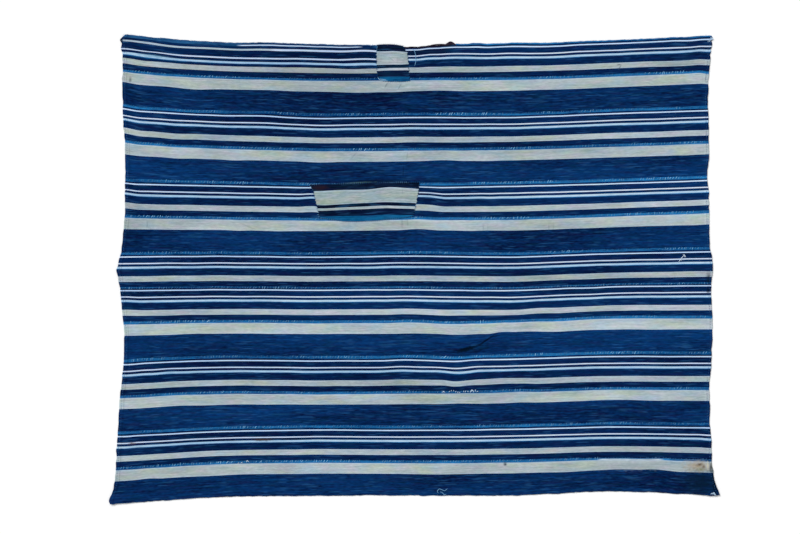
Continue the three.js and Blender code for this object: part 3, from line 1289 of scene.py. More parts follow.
@dataclass(frozen=True)
class Patch:
    """Piece of another strip, sewn on over worn cloth.

    Attributes:
        name: Its node's name.
        rows: Its rows from the top edge down.
        cloth: Its finish.
        lie: How the cloth under it lies.
        rests_on: The strips under it.
        thickness: Thickness in its middle, in mm.
        edge: Thickness at its pressed edges, in mm.
        gap: How far it stays above the strips, in mm.
        notch: How deep the stitches draw its ends in, in mm.
        stitch: Distance between those stitches, in mm.
    """

    name: str
    rows: tuple[PatchRow, ...]
    cloth: HandwovenCloth
    lie: Lie
    rests_on: tuple[str, ...]
    thickness: float = 1.6
    edge: float = 1.1
    gap: float = 0.15
    notch: float = 2.2
    stitch: float = 9.0
    rim: tuple[float, ...] = (0, 0.18, 0.5, 1.1, 2.5)
    fine: float = 2.0

    def _places(self, span: float) -> np.ndarray:
        """Shares of a span, fine near both ends.

        Args:
            span: Length of the span, in mm.

        Returns:
            Shares from 0 to 1.
        """
        rim = np.array(self.rim) / span
        inner = np.linspace(rim[-1], 1 - rim[-1], round(span / self.fine))
        return np.concatenate([rim[:-1], inner, 1 - rim[-2::-1]])

    def outline(self, down: np.ndarray, across: np.ndarray) -> tuple[np.ndarray, np.ndarray, np.ndarray]:
        """Points of the patch.

        Args:
            down: Shares of the way from its top edge to its bottom one.
            across: Shares of the way from its left end to its right one.

        Returns:
            Their places along and across the strips, in mm, and their shares of the stripes.
        """
        middles = [row.heights[2] for row in self.rows]
        known = (middles[0] - np.array(middles)) / (middles[0] - middles[-1])
        left = np.interp(down, known, [row.left for row in self.rows])
        right = np.interp(down, known, [row.right for row in self.rows])
        x = left + (right - left) * across
        heights = np.stack([curve_through(row.heights, across * 4) for row in self.rows])
        place = np.interp(down, known, np.arange(len(self.rows)))
        i = np.minimum(place.astype(int), len(self.rows) - 2)
        t = place - i
        upper = np.take_along_axis(heights, i[None], axis=0)[0]
        lower = np.take_along_axis(heights, i[None] + 1, axis=0)[0]
        return x, upper + (lower - upper) * t, np.interp(down, known, [row.share for row in self.rows])

    def _grid(self) -> ClothGrid:
        """Points of the patch, drawn in at its ends by the stitches."""
        first, last = self.rows[0], self.rows[-1]
        height, width = first.heights[2] - last.heights[2], first.right - first.left
        across, down = np.meshgrid(self._places(width), self._places(height))
        x, y, share = self.outline(down, across)
        from_end = np.minimum(across, 1 - across) * width
        from_edge = np.minimum(down, 1 - down) * height
        from_rim = np.minimum(from_end, from_edge)
        uneven = Wander(seed=80 + len(self.rests_on), length=17, width=17).at(y, x)
        phase = 2 * np.pi * (y / self.stitch + uneven)
        drawn = self.notch * (0.5 + 0.5 * np.cos(phase)) * np.exp(-from_end / 3.5)
        x = x + np.where(across < 0.5, drawn, -drawn)
        lift = self.lie.lift(x, y) + CLOTH + self.gap
        thickness = self.edge + (self.thickness - self.edge) * ease(from_rim / self.rim[-1])
        half = rounded(from_rim, thickness)
        y = y + self.lie.shift(x, y)
        return ClothGrid(x, y, lift + thickness / 2 - half, lift + thickness / 2 + half, share)

    def rim_guides(self) -> list["Guide"]:
        """Lines of the stitches round the patch, clockwise, so that its outer side is on their left."""
        grid = self._grid()
        inset = 2
        sides = (
            (inset, slice(inset, -inset)), (slice(inset, -inset), -1 - inset),
            (-1 - inset, slice(-1 - inset, inset, -1)), (slice(-1 - inset, inset, -1), inset),
        )
        guides = []
        for place in sides:
            points = np.column_stack([grid.x[place], grid.y[place], grid.high[place]])
            pale = Wander(seed=100 + len(self.rests_on), length=23, width=23).at(points[:, 0], points[:, 1])
            guides.append(Guide(points, 0.9 * np.maximum(pale * 2 - 0.9, 0.0)))
        return guides

    def flat_size(self) -> tuple[float, float]:
        """Width and length that the patch was cut to, in metres."""
        width = max(row.right - row.left for row in self.rows)
        height = self.rows[0].heights[2] - self.rows[-1].heights[2]
        return round(height * MM, 4), round(width * MM, 4)

    def build(self) -> bpy.types.Object:
        """Make the patch in place of its imported part.

        Returns:
            The finished piece.
        """
        piece = add_piece(f"cloth_{self.name}", self._grid().mesh(self.name), self.cloth.material())
        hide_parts(self.name)
        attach(piece, BODY)
        self.flat_size()
        report(piece)
        return piece


@dataclass(frozen=True)
class ThreadRow:
    """Rows of short lengths of thread set along guide lines: stitches, or the ends of frayed yarns.

    Attributes:
        name: The piece's name.
        pitch: Distance from one to the next, in mm.
        reach: Where each one starts, peaks and ends, as (along, up) pairs in mm.
        radius: Radius of the thread, in mm.
        turn: Turn of each one from its guide line, in degrees.
        spread: How much that turn varies, in degrees.
        scatter: How far each one strays from its place, in mm.
        seed: What makes its order its own.
        smallest: Size of the smallest one, as a share of the full size.
        growth: How much larger the palest ones are, as a share.
    """

    name: str
    pitch: float
    reach: tuple[tuple[float, float], tuple[float, float], tuple[float, float]]
    radius: float
    turn: float
    spread: float
    scatter: float
    seed: int
    smallest: float = 0.85
    growth: float = 0.0
    steps: int = 4
    sides: int = 5

    def _inputs(self, material: bpy.types.Material) -> tuple[tuple[str, str, object], ...]:
        """Name, kind and value of each of the tree's inputs, in metres and radians."""
        start, peak, end = ((along * MM, 0.0, up * MM) for along, up in self.reach)
        return (
            ("Pitch", "NodeSocketFloat", self.pitch * MM),
            ("Start", "NodeSocketVector", start),
            ("Peak", "NodeSocketVector", peak),
            ("End", "NodeSocketVector", end),
            ("Radius", "NodeSocketFloat", self.radius * MM),
            ("Turn", "NodeSocketFloat", math.radians(self.turn)),
            ("Spread", "NodeSocketFloat", math.radians(self.spread)),
            ("Scatter", "NodeSocketFloat", self.scatter * MM),
            ("Smallest", "NodeSocketFloat", self.smallest),
            ("Growth", "NodeSocketFloat", self.growth),
            ("Steps", "NodeSocketInt", self.steps),
            ("Sides", "NodeSocketInt", self.sides),
            ("Seed", "NodeSocketInt", self.seed),
            ("Thread", "NodeSocketMaterial", material),
        )

    def _tree(self, inputs: tuple[tuple[str, str, object], ...]) -> bpy.types.NodeTree:
        """Build the tree that sets the threads along their guide lines.

        Args:
            inputs: The tree's named inputs.

        Returns:
            The finished tree.
        """
        tree = bpy.data.node_groups.new(self.name, "GeometryNodeTree")
        graph = Graph(tree)
        tree.interface.new_socket("Geometry", in_out="INPUT", socket_type="NodeSocketGeometry")
        for name, kind, _ in inputs:
            tree.interface.new_socket(name, in_out="INPUT", socket_type=kind)
        tree.interface.new_socket("Geometry", in_out="OUTPUT", socket_type="NodeSocketGeometry")
        given = graph.node("NodeGroupInput").outputs
        seed = Wire(graph, given["Seed"])
        lines = graph.node("GeometryNodeMeshToCurve", values={"Mesh": given["Geometry"]}).outputs[0]
        places = graph.node(
            "GeometryNodeResampleCurve", {"mode": "LENGTH"}, {"Curve": lines, "Length": given["Pitch"]}
        ).outputs[0]
        scatter = Wire(graph, given["Scatter"])
        astray = self._random(graph, "FLOAT_VECTOR", {
            "Min": (-1.0, -0.4, -0.1), "Max": (1.0, 0.4, 0.1), "Seed": seed,
        })
        offset = graph.node(
            "ShaderNodeVectorMath", {"operation": "SCALE"}, {"Vector": astray, "Scale": scatter}
        ).outputs[0]
        places = graph.node(
            "GeometryNodeSetPosition", values={"Geometry": places, "Offset": offset}
        ).outputs[0]
        length = graph.node("GeometryNodeCurveQuadraticBezier", values={
            "Resolution": given["Steps"], "Start": given["Start"],
            "Middle": given["Peak"], "End": given["End"],
        }).outputs[0]
        section = graph.node(
            "GeometryNodeCurvePrimitiveCircle", {"mode": "RADIUS"},
            {"Resolution": given["Sides"], "Radius": given["Radius"]},
        ).outputs[0]
        shape = graph.node(
            "GeometryNodeCurveToMesh", values={"Curve": length, "Profile Curve": section, "Fill Caps": True}
        ).outputs[0]
        spread = Wire(graph, given["Spread"])
        sway = Wire(graph, self._random(graph, "FLOAT", {"Min_001": -1.0, "Max_001": 1.0, "Seed": seed + 1.0}))
        turned = graph.node("FunctionNodeEulerToRotation", values={
            "Euler": graph.vector(0.0, 0.0, Wire(graph, given["Turn"]) + sway * spread),
        }).outputs[0]
        tangent = graph.node("GeometryNodeInputTangent").outputs[0]
        aligned = graph.node(
            "FunctionNodeAlignRotationToVector", {"axis": "X", "pivot_axis": "Z"}, {"Vector": tangent}
        ).outputs[0]
        facing = graph.node(
            "FunctionNodeRotateRotation", {"rotation_space": "LOCAL"},
            {"Rotation": aligned, "Rotate By": turned},
        ).outputs[0]
        size = Wire(graph, self._random(graph, "FLOAT", {
            "Min_001": given["Smallest"], "Max_001": 1.0, "Seed": seed + 2.0,
        }))
        pale = graph.wire(
            "GeometryNodeInputNamedAttribute", "Attribute", {"data_type": "FLOAT"}, {"Name": "pale"}
        )
        size = size * (Wire(graph, given["Growth"]) * pale + 1.0)
        threads = graph.node("GeometryNodeInstanceOnPoints", values={
            "Points": places, "Instance": shape, "Rotation": facing, "Scale": size,
        }).outputs[0]
        mesh = graph.node("GeometryNodeRealizeInstances", values={"Geometry": threads}).outputs[0]
        smooth = graph.node("GeometryNodeSetShadeSmooth", values={"Geometry": mesh}).outputs[0]
        dressed = graph.node(
            "GeometryNodeSetMaterial", values={"Geometry": smooth, "Material": given["Thread"]}
        ).outputs[0]
        graph.node("NodeGroupOutput", values={"Geometry": dressed})
        return tree

    @staticmethod
    def _random(graph: Graph, kind: str, values: dict) -> bpy.types.NodeSocket:
        """Random value of a kind, one for each place."""
        made = graph.node("FunctionNodeRandomValue", {"data_type": kind}, values)
        return next(socket for socket in made.outputs if socket.enabled)

    def build(self, guides: Sequence["Guide"], material: bpy.types.Material) -> bpy.types.Object:
        """Set the threads along their guide lines.

        Args:
            guides: The lines that they follow.
            material: The thread's finish.

        Returns:
            The finished piece.
        """
        inputs = self._inputs(material)
        tree = self._tree(inputs)
        source = bpy.data.objects.new(f"{self.name}_guide", Guide.joined(guides))
        bpy.context.scene.collection.objects.link(source)
        modifier = source.modifiers.new("threads", "NODES")
        modifier.node_group = tree
        sockets = {item.name: item.identifier for item in tree.interface.items_tree if item.in_out == "INPUT"}
        for name, _, value in inputs:
            modifier[sockets[name]] = value
        depsgraph = bpy.context.evaluated_depsgraph_get()
        mesh = bpy.data.meshes.new_from_object(source.evaluated_get(depsgraph), depsgraph=depsgraph)
        source.modifiers.remove(modifier)
        bpy.data.objects.remove(source)
        piece = add_piece(self.name, mesh, material)
        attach(piece, BODY)
        report(piece)
        return piece


@dataclass(frozen=True)
class Guide:
    """Line that a row of threads follows.

    Attributes:
        points: Its points, in mm from the middle of the cloth, a row for each.
        pale: How pale the thread is at each point, from 0 to 2.
    """

    points: np.ndarray
    pale: np.ndarray

    @staticmethod
    def over(lie: Lie, path: Sequence[tuple[float, float]], height: float, pale: float) -> "Guide":
        """Smooth line through places on the cloth.

        Args:
            lie: How the cloth lies.
            path: Places along and across the strips, in mm.
            height: Height over the underside of the cloth, in mm.
            pale: How pale the thread is.

        Returns:
            The guide line.
        """
        steps = np.linspace(0, len(path) - 1, 6 * (len(path) - 1) + 1)
        x = curve_through([place[0] for place in path], steps)
        y = curve_through([place[1] for place in path], steps)
        return Guide(np.column_stack([x, y, lie.lift(x, y) + height]), np.full_like(x, pale))

    @staticmethod
    def joined(guides: Sequence["Guide"]) -> bpy.types.Mesh:
        """One mesh of edges for several lines.

        Args:
            guides: The lines.

        Returns:
            A mesh in metres, with the paleness kept at its points.
        """
        edges, first = [], 0
        for guide in guides:
            edges += [(first + i, first + i + 1) for i in range(len(guide.points) - 1)]
            first += len(guide.points)
        points = np.concatenate([guide.points for guide in guides])
        placed = (points - np.array([CENTRE_X, CENTRE_Y, 0.0])) * MM
        made = bpy.data.meshes.new("guide")
        made.from_pydata(placed.tolist(), edges, [])
        layer = made.attributes.new("pale", "FLOAT", "POINT")
        layer.data.foreach_set("value", np.concatenate([guide.pale for guide in guides]).astype(np.float32))
        return made


@dataclass(frozen=True)
class Stretch:
    """Part of a seam whose stitches show pale: its two ends, in mm, and how pale they are."""

    start: float
    stop: float
    paleness: float = 0.8

    def at(self, x: np.ndarray) -> np.ndarray:
        """Paleness at each place, which fades out over a stitch or two at both ends."""
        return self.paleness * ease((x - self.start) / 12 + 0.5) * ease((self.stop - x) / 12 + 0.5)


@dataclass(frozen=True)
class Seam:
    """Whip stitches along one sewn line.

    Attributes:
        line: The line.
        lie: How the cloth lies.
        stretches: Where the stitches show pale.
        covered: Where a patch hides the seam, as (start, stop) in mm.
    """

    line: SewnLine
    lie: Lie
    stretches: tuple[Stretch, ...] = ()
    covered: tuple[float, float] | None = None
    pitch: float = 6.8

    def _guide(self, start: float, stop: float) -> Guide:
        """Guide line along a part of the seam."""
        x = np.arange(start, stop, 4.0)
        y = self.line.height(x)
        lift = self.lie.lift(x, y) + self.line.pucker(x)
        pale = 0.2 + 0.5 * (Wander(seed=120 + self.line.number, length=55).at(x) ** 2)
        for stretch in self.stretches:
            pale = np.maximum(pale, stretch.at(x))
        uneven = Wander(seed=140 + self.line.number, length=7).at(x)
        points = np.column_stack([x, y + self.lie.shift(x, y), lift + SELVEDGE + 0.35])
        return Guide(points, pale * (0.25 + 1.3 * uneven))

    def build(self, material: bpy.types.Material) -> bpy.types.Object:
        """Sew the seam.

        Args:
            material: The thread's finish.

        Returns:
            The stitches as one piece.
        """
        ends = (self.line.left + 6, self.line.right - 6)
        parts = [ends] if self.covered is None else [(ends[0], self.covered[0]), (self.covered[1], ends[1])]
        stitches = ThreadRow(
            name=f"seam_stitches_{self.line.number:02d}", pitch=self.pitch,
            reach=((-2.4, -0.5), (0.0, 0.9), (2.4, -0.5)), radius=0.55, turn=64, spread=22,
            scatter=2.2, seed=self.line.number, smallest=0.6, growth=0.6,
        )
        return stitches.build([self._guide(*part) for part in parts], material)


@dataclass(frozen=True)
class LooseThreads:
    """Loose lengths of thread, each swept along its own path on the cloth or just past its edge.

    Attributes:
        name: The piece's name.
        paths: For each length, its places along and across the strips, in mm.
        radius: Radius of the thread, in mm.
        height: Height of its middle over the underside of the cloth, in mm.
        pale: How pale it is, from 0 to 2.
        lie: How the cloth lies.
    """

    name: str
    paths: tuple[tuple[tuple[float, float], ...], ...]
    radius: float
    height: float
    pale: float
    lie: Lie
    sides: int = 6

    def _rings(self, line: np.ndarray) -> np.ndarray:
        """Rings of points round a line, thinner at both ends.

        Args:
            line: The line's points, in mm.

        Returns:
            Points by step and by side.
        """
        along = np.gradient(line, axis=0)
        along /= np.linalg.norm(along, axis=1, keepdims=True)
        side = np.cross(along, (0.0, 0.0, 1.0))
        up = np.cross(side, along)
        angle = np.linspace(0, 2 * np.pi, self.sides, endpoint=False)
        ends = np.minimum(np.arange(len(line)), np.arange(len(line))[::-1])
        radius = self.radius * (0.35 + 0.65 * ease(ends / 3))[:, None, None]
        ring = side[:, None] * np.cos(angle)[None, :, None] + up[:, None] * np.sin(angle)[None, :, None]
        return line[:, None] + radius * ring

    def build(self, material: bpy.types.Material) -> bpy.types.Object:
        """Lay the threads down.

        Args:
            material: The thread's finish.

        Returns:
            The finished piece.
        """
        points, faces = [], []
        for path in self.paths:
            rings = self._rings(Guide.over(self.lie, path, self.height, self.pale).points)
            first, (steps, sides) = len(points), rings.shape[:2]
            index = first + np.arange(steps * sides).reshape(steps, sides)
            turned = np.roll(index, -1, axis=1)
            quads = np.stack([index[:-1], index[1:], turned[1:], turned[:-1]], axis=-1)
            faces += quads.reshape(-1, 4).tolist() + [index[0].tolist(), index[-1][::-1].tolist()]
            points += ((rings.reshape(-1, 3) - (CENTRE_X, CENTRE_Y, 0.0)) * MM).tolist()
        mesh = bpy.data.meshes.new(self.name)
        mesh.from_pydata(points, [], faces)
        mesh.polygons.foreach_set("use_smooth", np.ones(len(faces), bool))
        layer = mesh.attributes.new("pale", "FLOAT", "POINT")
        layer.data.foreach_set("value", np.full(len(points), self.pale, np.float32))
        piece = add_piece(self.name, mesh, material)
        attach(piece, BODY)
        report(piece)
        return piece


# Where each seam's stitches show palest, by the number of its line
PALE_STRETCHES = {
    1: (Stretch(-700, -620, 0.7), Stretch(-540, -430, 0.7), Stretch(45, 190, 0.55), Stretch(570, 690, 0.75)),
    2: (Stretch(55, 105, 0.9), Stretch(160, 222, 0.75), Stretch(-345, -290, 0.5), Stretch(435, 490, 0.6)),
    3: (Stretch(-420, -290, 0.55), Stretch(-165, -95, 0.85), Stretch(215, 295, 0.75), Stretch(655, 715, 0.85)),
    4: (Stretch(-625, -470, 0.6), Stretch(140, 360, 0.75), Stretch(440, 520, 0.55), Stretch(565, 670, 0.8)),
    5: (Stretch(-700, -560, 0.75), Stretch(-530, -340, 0.6), Stretch(140, 300, 0.85), Stretch(510, 700, 0.7)),
    6: (Stretch(-690, -530, 0.55), Stretch(-320, -200, 0.5), Stretch(-40, 100, 0.6), Stretch(620, 715, 0.75)),
    7: (Stretch(-315, -280, 0.4), Stretch(265, 365, 0.35)),
    8: (
        Stretch(-710, -510, 0.85), Stretch(-410, -290, 0.6), Stretch(-65, -50, 0.9), Stretch(-20, 0, 0.9),
        Stretch(66, 102, 1.0), Stretch(127, 139, 0.9), Stretch(155, 167, 0.9), Stretch(340, 520, 0.5),
    ),
    9: (
        Stretch(-710, -620, 0.5), Stretch(-480, -430, 0.5), Stretch(50, 130, 0.85), Stretch(165, 200, 0.4),
        Stretch(227, 265, 0.8), Stretch(285, 335, 0.8), Stretch(350, 365, 0.6),
    ),
    10: (
        Stretch(-665, -555, 0.5), Stretch(-485, -410, 0.6), Stretch(-335, -260, 0.6), Stretch(-45, -28, 0.9),
        Stretch(112, 150, 1.3), Stretch(227, 240, 0.8), Stretch(302, 327, 0.8), Stretch(420, 520, 0.5),
    ),
    11: (Stretch(-480, -290, 0.7), Stretch(-60, 20, 0.55), Stretch(315, 420, 0.55), Stretch(465, 590, 0.5)),
    12: (
        Stretch(-500, -450, 0.9), Stretch(-425, -412, 0.8), Stretch(-690, -530, 0.6), Stretch(-410, -210, 0.7), Stretch(-85, 90, 0.55),
        Stretch(190, 265, 0.5),
    ),
}


@dataclass(frozen=True)
class Studio:
    """Plain floor, soft light and the camera straight above.

    Attributes:
        camera_x: Where the camera stands over the cloth, in mm.
        camera_y: Where the camera stands over the cloth, in mm.
        height: Its height, in metres.
        view_width: Width of what it sees at the cloth, in metres.
    """

    camera_x: float = -34.6
    camera_y: float = 6.55
    height: float = 5.0
    view_width: float = 2.0
    sensor: float = 36.0

    def build(self) -> None:
        """Set up the floor, the light and the camera."""
        self._floor()
        self._light()
        self._camera()

    def _floor(self) -> None:
        """Pale floor just under the cloth."""
        half, depth = 12.0, -0.0004
        mesh = bpy.data.meshes.new("floor")
        corners = [(-half, -half, depth), (half, -half, depth), (half, half, depth), (-half, half, depth)]
        mesh.from_pydata(corners, [], [(0, 1, 2, 3)])
        made = bpy.data.materials.new("pale floor")
        made.use_nodes = True
        graph = Graph(made.node_tree)
        spot = graph.node("ShaderNodeTexCoord").outputs["Object"]
        cloudy = graph.noise(spot, 2.0)
        colour = graph.mix(cloudy, (0.93, 0.93, 0.93, 1.0), (0.95, 0.95, 0.95, 1.0))
        shader = graph.node("ShaderNodeBsdfPrincipled", values={
            "Base Color": colour, "Roughness": 0.95, "Specular IOR Level": 0.0,
        })
        graph.node("ShaderNodeOutputMaterial", values={"Surface": shader.outputs[0]})
        floor = add_piece("floor", mesh, made)

    def _light(self) -> None:
        """Even light from all round, and a large soft one from the upper left."""
        scene = bpy.context.scene
        scene.view_settings.view_transform = "Standard"
        world = bpy.data.worlds.new("studio")
        world.use_nodes = True
        graph = Graph(world.node_tree)
        glow = graph.node("ShaderNodeBackground", values={"Color": (1.0, 1.0, 1.0, 1.0), "Strength": 0.5})
        graph.node("ShaderNodeOutputWorld", values={"Surface": glow.outputs[0]})
        scene.world = world
        sun = bpy.data.lights.new("soft box", "SUN")
        sun.energy = 2.6
        sun.angle = math.radians(30)
        lamp = bpy.data.objects.new("soft box", sun)
        lamp.rotation_euler = (math.radians(-32), math.radians(-30), 0.0)
        scene.collection.objects.link(lamp)

    def _camera(self) -> None:
        """Camera looking straight down."""
        lens = bpy.data.cameras.new("camera")
        lens.sensor_width = self.sensor
        lens.lens = self.sensor * self.height / self.view_width
        lens.clip_end = 100.0
        camera = bpy.data.objects.new("camera", lens)
        camera.location = (self.camera_x * MM, self.camera_y * MM, self.height)
        bpy.context.scene.collection.objects.link(camera)
        bpy.context.scene.camera = camera


@dataclass
class Wrapper:
    """The whole cloth: its strips, patches and sewing."""

    lie: Lie = field(default_factory=Lie)

    def strips(self) -> list[Strip]:
        """All strips from the top down, the topmost in two lengths."""
        banded, broad = "banded_cloth", "broad_cloth"
        rows = (
            ("strip_01_left", 0, Layout.NARROW_BANDED, -1.0, None),
            ("strip_01_right", 0, Layout.BANDED, None, 0.0),
            ("strip_02", 1, Layout.BROAD, -1.0, 0.0),
            ("strip_03", 2, Layout.BANDED, -2.0, 1.0),
            ("strip_04", 3, Layout.BROAD, 0.0, 2.0),
            ("strip_05", 4, Layout.BANDED, -1.0, 1.0),
            ("strip_06", 5, Layout.BROAD, 0.0, 0.0),
            ("strip_07", 6, Layout.BANDED, -8.0, 5.0),
            ("strip_08", 7, Layout.BANDED, -1.0, -1.0),
            ("strip_09", 8, Layout.BROAD, 2.0, 1.0),
            ("strip_10", 9, Layout.BANDED, 0.0, 1.0),
            ("strip_11", 10, Layout.BROAD, 0.0, 1.0),
            ("strip_12", 11, Layout.BANDED, 0.0, 2.0),
            ("strip_13", 12, Layout.BROAD, 5.0, -4.0),
        )
        stains_and_shade = {
            "strip_01_left": (
                StainOrShade(-733, 571, 6, 13, 0, (6, 22, 50), 1.5),
                StainOrShade(-706, 575, 30, 3, -8, (4, 26, 62), 1.0),
                StainOrShade(-645, 531, 60, 5, -7, (88, 140, 172), 0.7),
            ),
            "strip_01_right": (
                # Two grey lines of painted shade, in the fine creases at the same places.
                StainOrShade(512, 510, 9, 2.4, 10, (70, 76, 84), 0.7),
                StainOrShade(514, 504, 8, 2.4, 62, (70, 76, 84), 0.7),
            ),
            "strip_02": (StainOrShade(-710, 473, 5, 9, 0, (104, 112, 118), 1.0),),
            "strip_04": (
                # Dark line of painted shade along the middle patch's top edge, where it meets the strip; the
                # olive one after it is a real mark.
                StainOrShade(-86, 217, 98, 7, 1, (6, 28, 60), 1.4),
                StainOrShade(-133, 216, 46, 2.4, 2, (60, 90, 90), 1.2),
            ),
            "strip_09": (
                # All three are painted shade: dark lines along the fold here and the fine creases in it.
                StainOrShade(128, -201, 34, 7, 15, (0, 20, 42), 2.0),
                StainOrShade(163, -190, 9, 4, 12, (4, 22, 56), 1.1),
                StainOrShade(180, -178, 32, 2.8, 35, (0, 20, 52), 1.4),
            ),
            "strip_07": (StainOrShade(734, -24, 8, 26, 0, (6, 26, 40), 0.8),),
            "strip_08": (StainOrShade(734, -54, 7, 13, 0, (2, 14, 38), 0.9),),
            "strip_12": (
                StainOrShade(-378, -427, 34, 4.5, 0, (66, 50, 44), 1.1),
                StainOrShade(-706, -436, 12, 4, 8, (96, 70, 62), 0.9),
            ),
            "strip_13": (
                StainOrShade(708, -492, 46, 18, 0, (172, 160, 136), 1.0),
                StainOrShade(717, -501, 14, 6, 0, (146, 150, 116), 0.9),
                StainOrShade(713, -489, 10, 5, 8, (100, 84, 74), 1.1),
                StainOrShade(723, -494, 6, 7, -30, (116, 106, 92), 0.9),
                StainOrShade(741, -494, 6, 15, 0, (104, 108, 100), 1.2),
                StainOrShade(733, -493, 3, 14, 0, (206, 204, 180), 1.0),
                StainOrShade(545, -491, 150, 14, 0, (138, 152, 158), 0.6),
                StainOrShade(750, -535, 9, 52, 8, (0, 10, 36), 1.4),
                StainOrShade(227, -488, 5, 6, 0, (44, 58, 74), 1.2),
                StainOrShade(720, -535, 75, 46, 0, (4, 28, 48), 0.8),
            ),
        }
        inlays = {
            "strip_01_left": (
                Inlay(0.030, 0.100, -440, -95, NAVY),
                Inlay(0.064, 0.092, -445, -128, WHITE),
                Inlay(0.174, 0.228, -360, -30, SOFT_WHITE),
            ),
            "strip_01_right": (
                Inlay(0.0, 0.065, -60, 105, BROWN_BLACK),
                Inlay(0.133, 0.275, -60, 90, DARK_NAVY),
            ),
            "strip_12": (Inlay(0.960, 1.0, 410, 790, NAVY),),
            "strip_13": (
                Inlay(0.020, 0.055, 455, 625, EDGE_WHITE),
                Inlay(0.0, 0.052, 635, 790, DULL_INDIGO),
            ),
        }
        cuts = {"strip_01_right": (0.01, 1.0), "strip_08": (0.041, 1.0), "strip_13": (0.0, 0.976)}
        return [
            Strip(
                name, line,
                HandwovenCloth(
                    name, layout, seed, inlays=inlays.get(name, ()), stains_and_shade=stains_and_shade.get(name, ()),
                    creases=self._creases_between(LINES[line], LINES[line + 1]),
                ),
                broad if layout is Layout.BROAD else banded, left_bow, right_bow, self.lie,
                *cuts.get(name, (0.0, 1.0)),
            )
            for seed, (name, line, layout, left_bow, right_bow) in enumerate(rows)
        ]

    @staticmethod
    def _creases_between(upper: SewnLine, lower: SewnLine) -> tuple[Hill, ...]:
        """Fine creases whose middle lies between two lines."""
        return tuple(
            crease for crease in FINE_CREASES if lower.height(crease.x) < crease.y < upper.height(crease.x)
        )

    def patches(self) -> list[Patch]:
        """Both patches."""
        return [
            Patch(
                "patch_top",
                (
                    PatchRow(-94, -28, (558, 560, 561, 560, 557), 0.0),
                    PatchRow(-95, -16, (539, 541, 543, 543, 541), 0.164),
                    PatchRow(-95, -13, (508, 509, 510, 510, 511), 0.553),
                    PatchRow(-93, -11, (481, 482, 482, 482, 481), 0.855),
                    PatchRow(-78, -11, (470, 468, 468, 468, 470), 1.0),
                ),
                HandwovenCloth("patch_top", Layout.PATCH, 21, width=92, creases=TOP_PATCH_CREASES),
                self.lie, ("cloth_strip_01_left", "cloth_strip_01_right", "cloth_strip_02"),
            ),
            Patch(
                "patch_middle",
                (
                    PatchRow(-263, 14, (211, 213, 215, 216, 216), 0.0),
                    PatchRow(-253, 13, (193, 197, 198, 204, 196), 0.164),
                    PatchRow(-245, 6, (157, 161, 164, 166, 158), 0.553),
                    PatchRow(-240, 0, (131, 134, 135, 137, 133), 0.855),
                    PatchRow(-234, -6, (128, 119, 119, 123, 130), 1.0),
                ),
                HandwovenCloth(
                    "patch_middle", Layout.PATCH, 22, width=92, creases=MIDDLE_PATCH_CREASES,
                    stains_and_shade=(
                        StainOrShade(-236, 203, 26, 8, 0, (42, 24, 34), 1.0),
                    ),
                ),
                self.lie, ("cloth_strip_05", "cloth_strip_06"),
            ),
        ]

    def seams(self) -> list[Seam]:
        """Seams between the strips."""
        covered = {1: (-96.0, -8.0), 4: (-180.0, 4.0), 5: (-232.0, -6.0)}
        return [
            Seam(line, self.lie, PALE_STRETCHES.get(line.number, ()), covered.get(line.number))
            for line in LINES[1:-1]
        ]

    def _sew_hems(self, strips: Sequence[Strip], thread: bpy.types.Material) -> None:
        """Sew the turned ends down.

        Args:
            strips: The strips.
            thread: The thread's finish.
        """
        for side, seed in (("left", 30), ("right", 31)):
            guides = [strip.hem_guide(side) for strip in strips if getattr(strip, f"{side}_bow") is not None]
            ThreadRow(
                name=f"hem_stitches_{side}", pitch=6.0, reach=((-1.9, -0.4), (0.0, 0.9), (1.9, -0.4)),
                radius=0.42, turn=0, spread=24, scatter=0.8, seed=seed,
            ).build(guides, thread)

    def _sew_patches(self, patches: Sequence[Patch], thread: bpy.types.Material) -> None:
        """Sew the patches on.

        Args:
            patches: The patches.
            thread: The thread's finish.
        """
        for seed, patch in enumerate(patches, start=40):
            ThreadRow(
                name=f"{patch.name}_stitches", pitch=5.2, reach=((-2.1, -0.1), (0.2, 1.0), (2.3, -1.3)),
                radius=0.42, turn=90, spread=16, scatter=0.5, seed=seed,
            ).build(patch.rim_guides(), thread)

    def _fray(self, thread: bpy.types.Material) -> None:
        """Frayed ends at two corners and fine fibres along the outer edges.

        Args:
            thread: The thread's finish.
        """
        corners = (
            ("frayed_corner_top", ((735, 568), (739, 572), (743, 577), (745, 574))),
            ("frayed_corner_bottom", ((743, -562), (747, -560), (752, -564))),
        )
        for seed, (name, path) in enumerate(corners, start=50):
            ThreadRow(
                name=name, pitch=0.6, reach=((-3.0, 0.0), (0.0, 0.9), (3.4, 0.2)), radius=0.35,
                turn=20, spread=70, scatter=1.6, seed=seed, smallest=0.5,
            ).build([Guide.over(self.lie, path, 3.0, 1.7)], thread)
        edges = []
        for line in (LINES[0], LINES[-1]):
            x = np.arange(line.left + 4, line.right - 4, 6.0)
            y = line.height(x)
            points = np.column_stack([x, y + self.lie.shift(x, y), self.lie.lift(x, y) + 0.8])
            edges.append(Guide(points, Wander(seed=150 + line.number, length=20).at(x) * 0.5))
        ThreadRow(
            name="edge_fibres", pitch=2.3, reach=((-2.6, -0.2), (0.0, 0.5), (2.6, -0.1)), radius=0.14,
            turn=20, spread=60, scatter=0.7, seed=60, smallest=0.3, steps=3, sides=4,
        ).build(edges, thread)

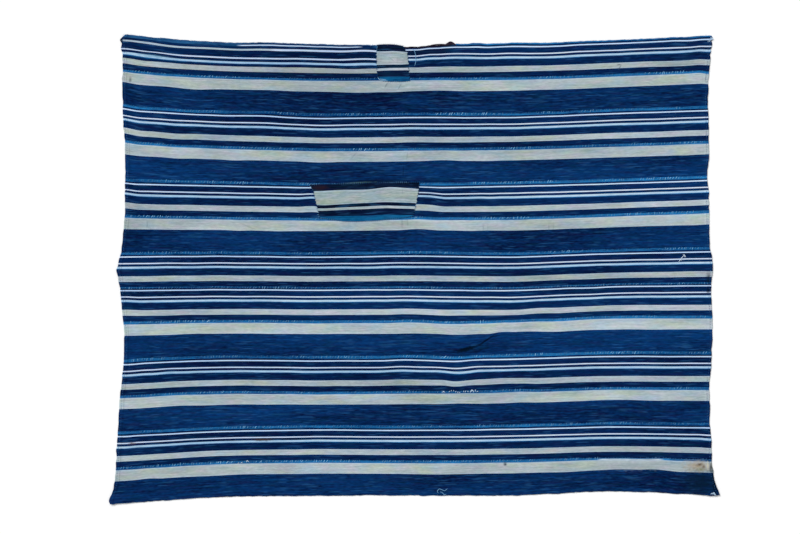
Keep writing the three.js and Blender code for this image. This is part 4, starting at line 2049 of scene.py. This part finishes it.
    def _lay_threads(self, thread: bpy.types.Material) -> None:
        """Loose ends that lie on the cloth.

        Args:
            thread: The thread's finish.
        """
        LooseThreads(
            "loose_threads_white",
            (
                ((660, 17), (665, 24), (669, 29), (672, 32)),
                ((664, 25), (668, 20)),
                ((671, 36), (674, 32), (676, 29)),
                ((673, 37), (676, 33), (678, 29)),
            ),
            0.75, 2.7, 2.0, self.lie,
        ).build(thread)
        LooseThreads(
            "mending_threads",
            (
                ((71, -310), (73, -306), (77, -309)),
                ((87, -308), (89, -305)),
                ((92, -306), (93, -303)),
                ((98, -306), (99, -303)),
                ((102, -308), (105, -306)),
                ((108, -310), (110, -306)),
                ((112, -310), (114, -307)),
                ((123, -308), (124, -304)),
                ((127, -309), (128, -304)),
                ((132, -305), (136, -308)),
                ((140, -307), (143, -303)),
                ((143, -301), (146, -304), (149, -307)),
                ((152, -307), (153, -301)),
                ((156, -307), (160, -305)),
                ((-441, -486), (-438, -484)),
                ((-434, -485), (-429, -483)),
                ((-420, -483), (-417, -479), (-413, -483)),
            ),
            0.8, 2.6, 2.0, self.lie,
        ).build(thread)
        LooseThreads(
            "patch_threads",
            (
                ((-91, 479), (-88, 474), (-82, 471), (-74, 470), (-66, 470)),
                ((-86, 475), (-78, 473), (-70, 473)),
            ),
            0.6, 3.7, 1.1, self.lie,
        ).build(thread)
        LooseThreads(
            "loose_threads_blue",
            (
                ((-4, 549), (0, 545), (3, 535), (4, 520), (1, 507)),
                ((60, -561), (58, -555), (62, -550), (67, -551), (72, -553), (76, -554), (83, -549)),
                ((65, -557), (70, -559), (75, -564), (80, -563)),
            ),
            0.5, 2.5, 0.85, self.lie,
        ).build(thread)

    def build(self) -> None:
        """Make every piece of the cloth."""
        strips, patches = self.strips(), self.patches()
        for part in strips + patches:
            part.build()
        thread = SewingThread("sewing thread").material()
        for seam in self.seams():
            seam.build(thread)
        self._sew_hems(strips, SewingThread("hem thread", (14, 54, 110), (84, 132, 190)).material())
        self._sew_patches(patches, thread)
        self._fray(thread)
        self._lay_threads(thread)
        brown = SewingThread("brown thread", (40, 28, 42), (72, 58, 74)).material()
        LooseThreads(
            "brown_tuft",
            (
                ((76, 559), (82, 563), (89, 567), (95, 566), (104, 560)),
                ((78, 560), (84, 562), (91, 565), (98, 563), (102, 560)),
                ((74, 559), (83, 560), (92, 562), (99, 561), (106, 558)),
                ((38, 558), (50, 560), (62, 561), (72, 561), (80, 560)),
            ),
            1.3, 1.6, 0.3, self.lie,
        ).build(brown)


def main() -> None:
    """Build the studio and the wrapper, in that order."""
    logging.basicConfig(level=logging.INFO, format="%(message)s")
    Studio().build()
    Wrapper().build()


if __name__ == "__main__":
    main()
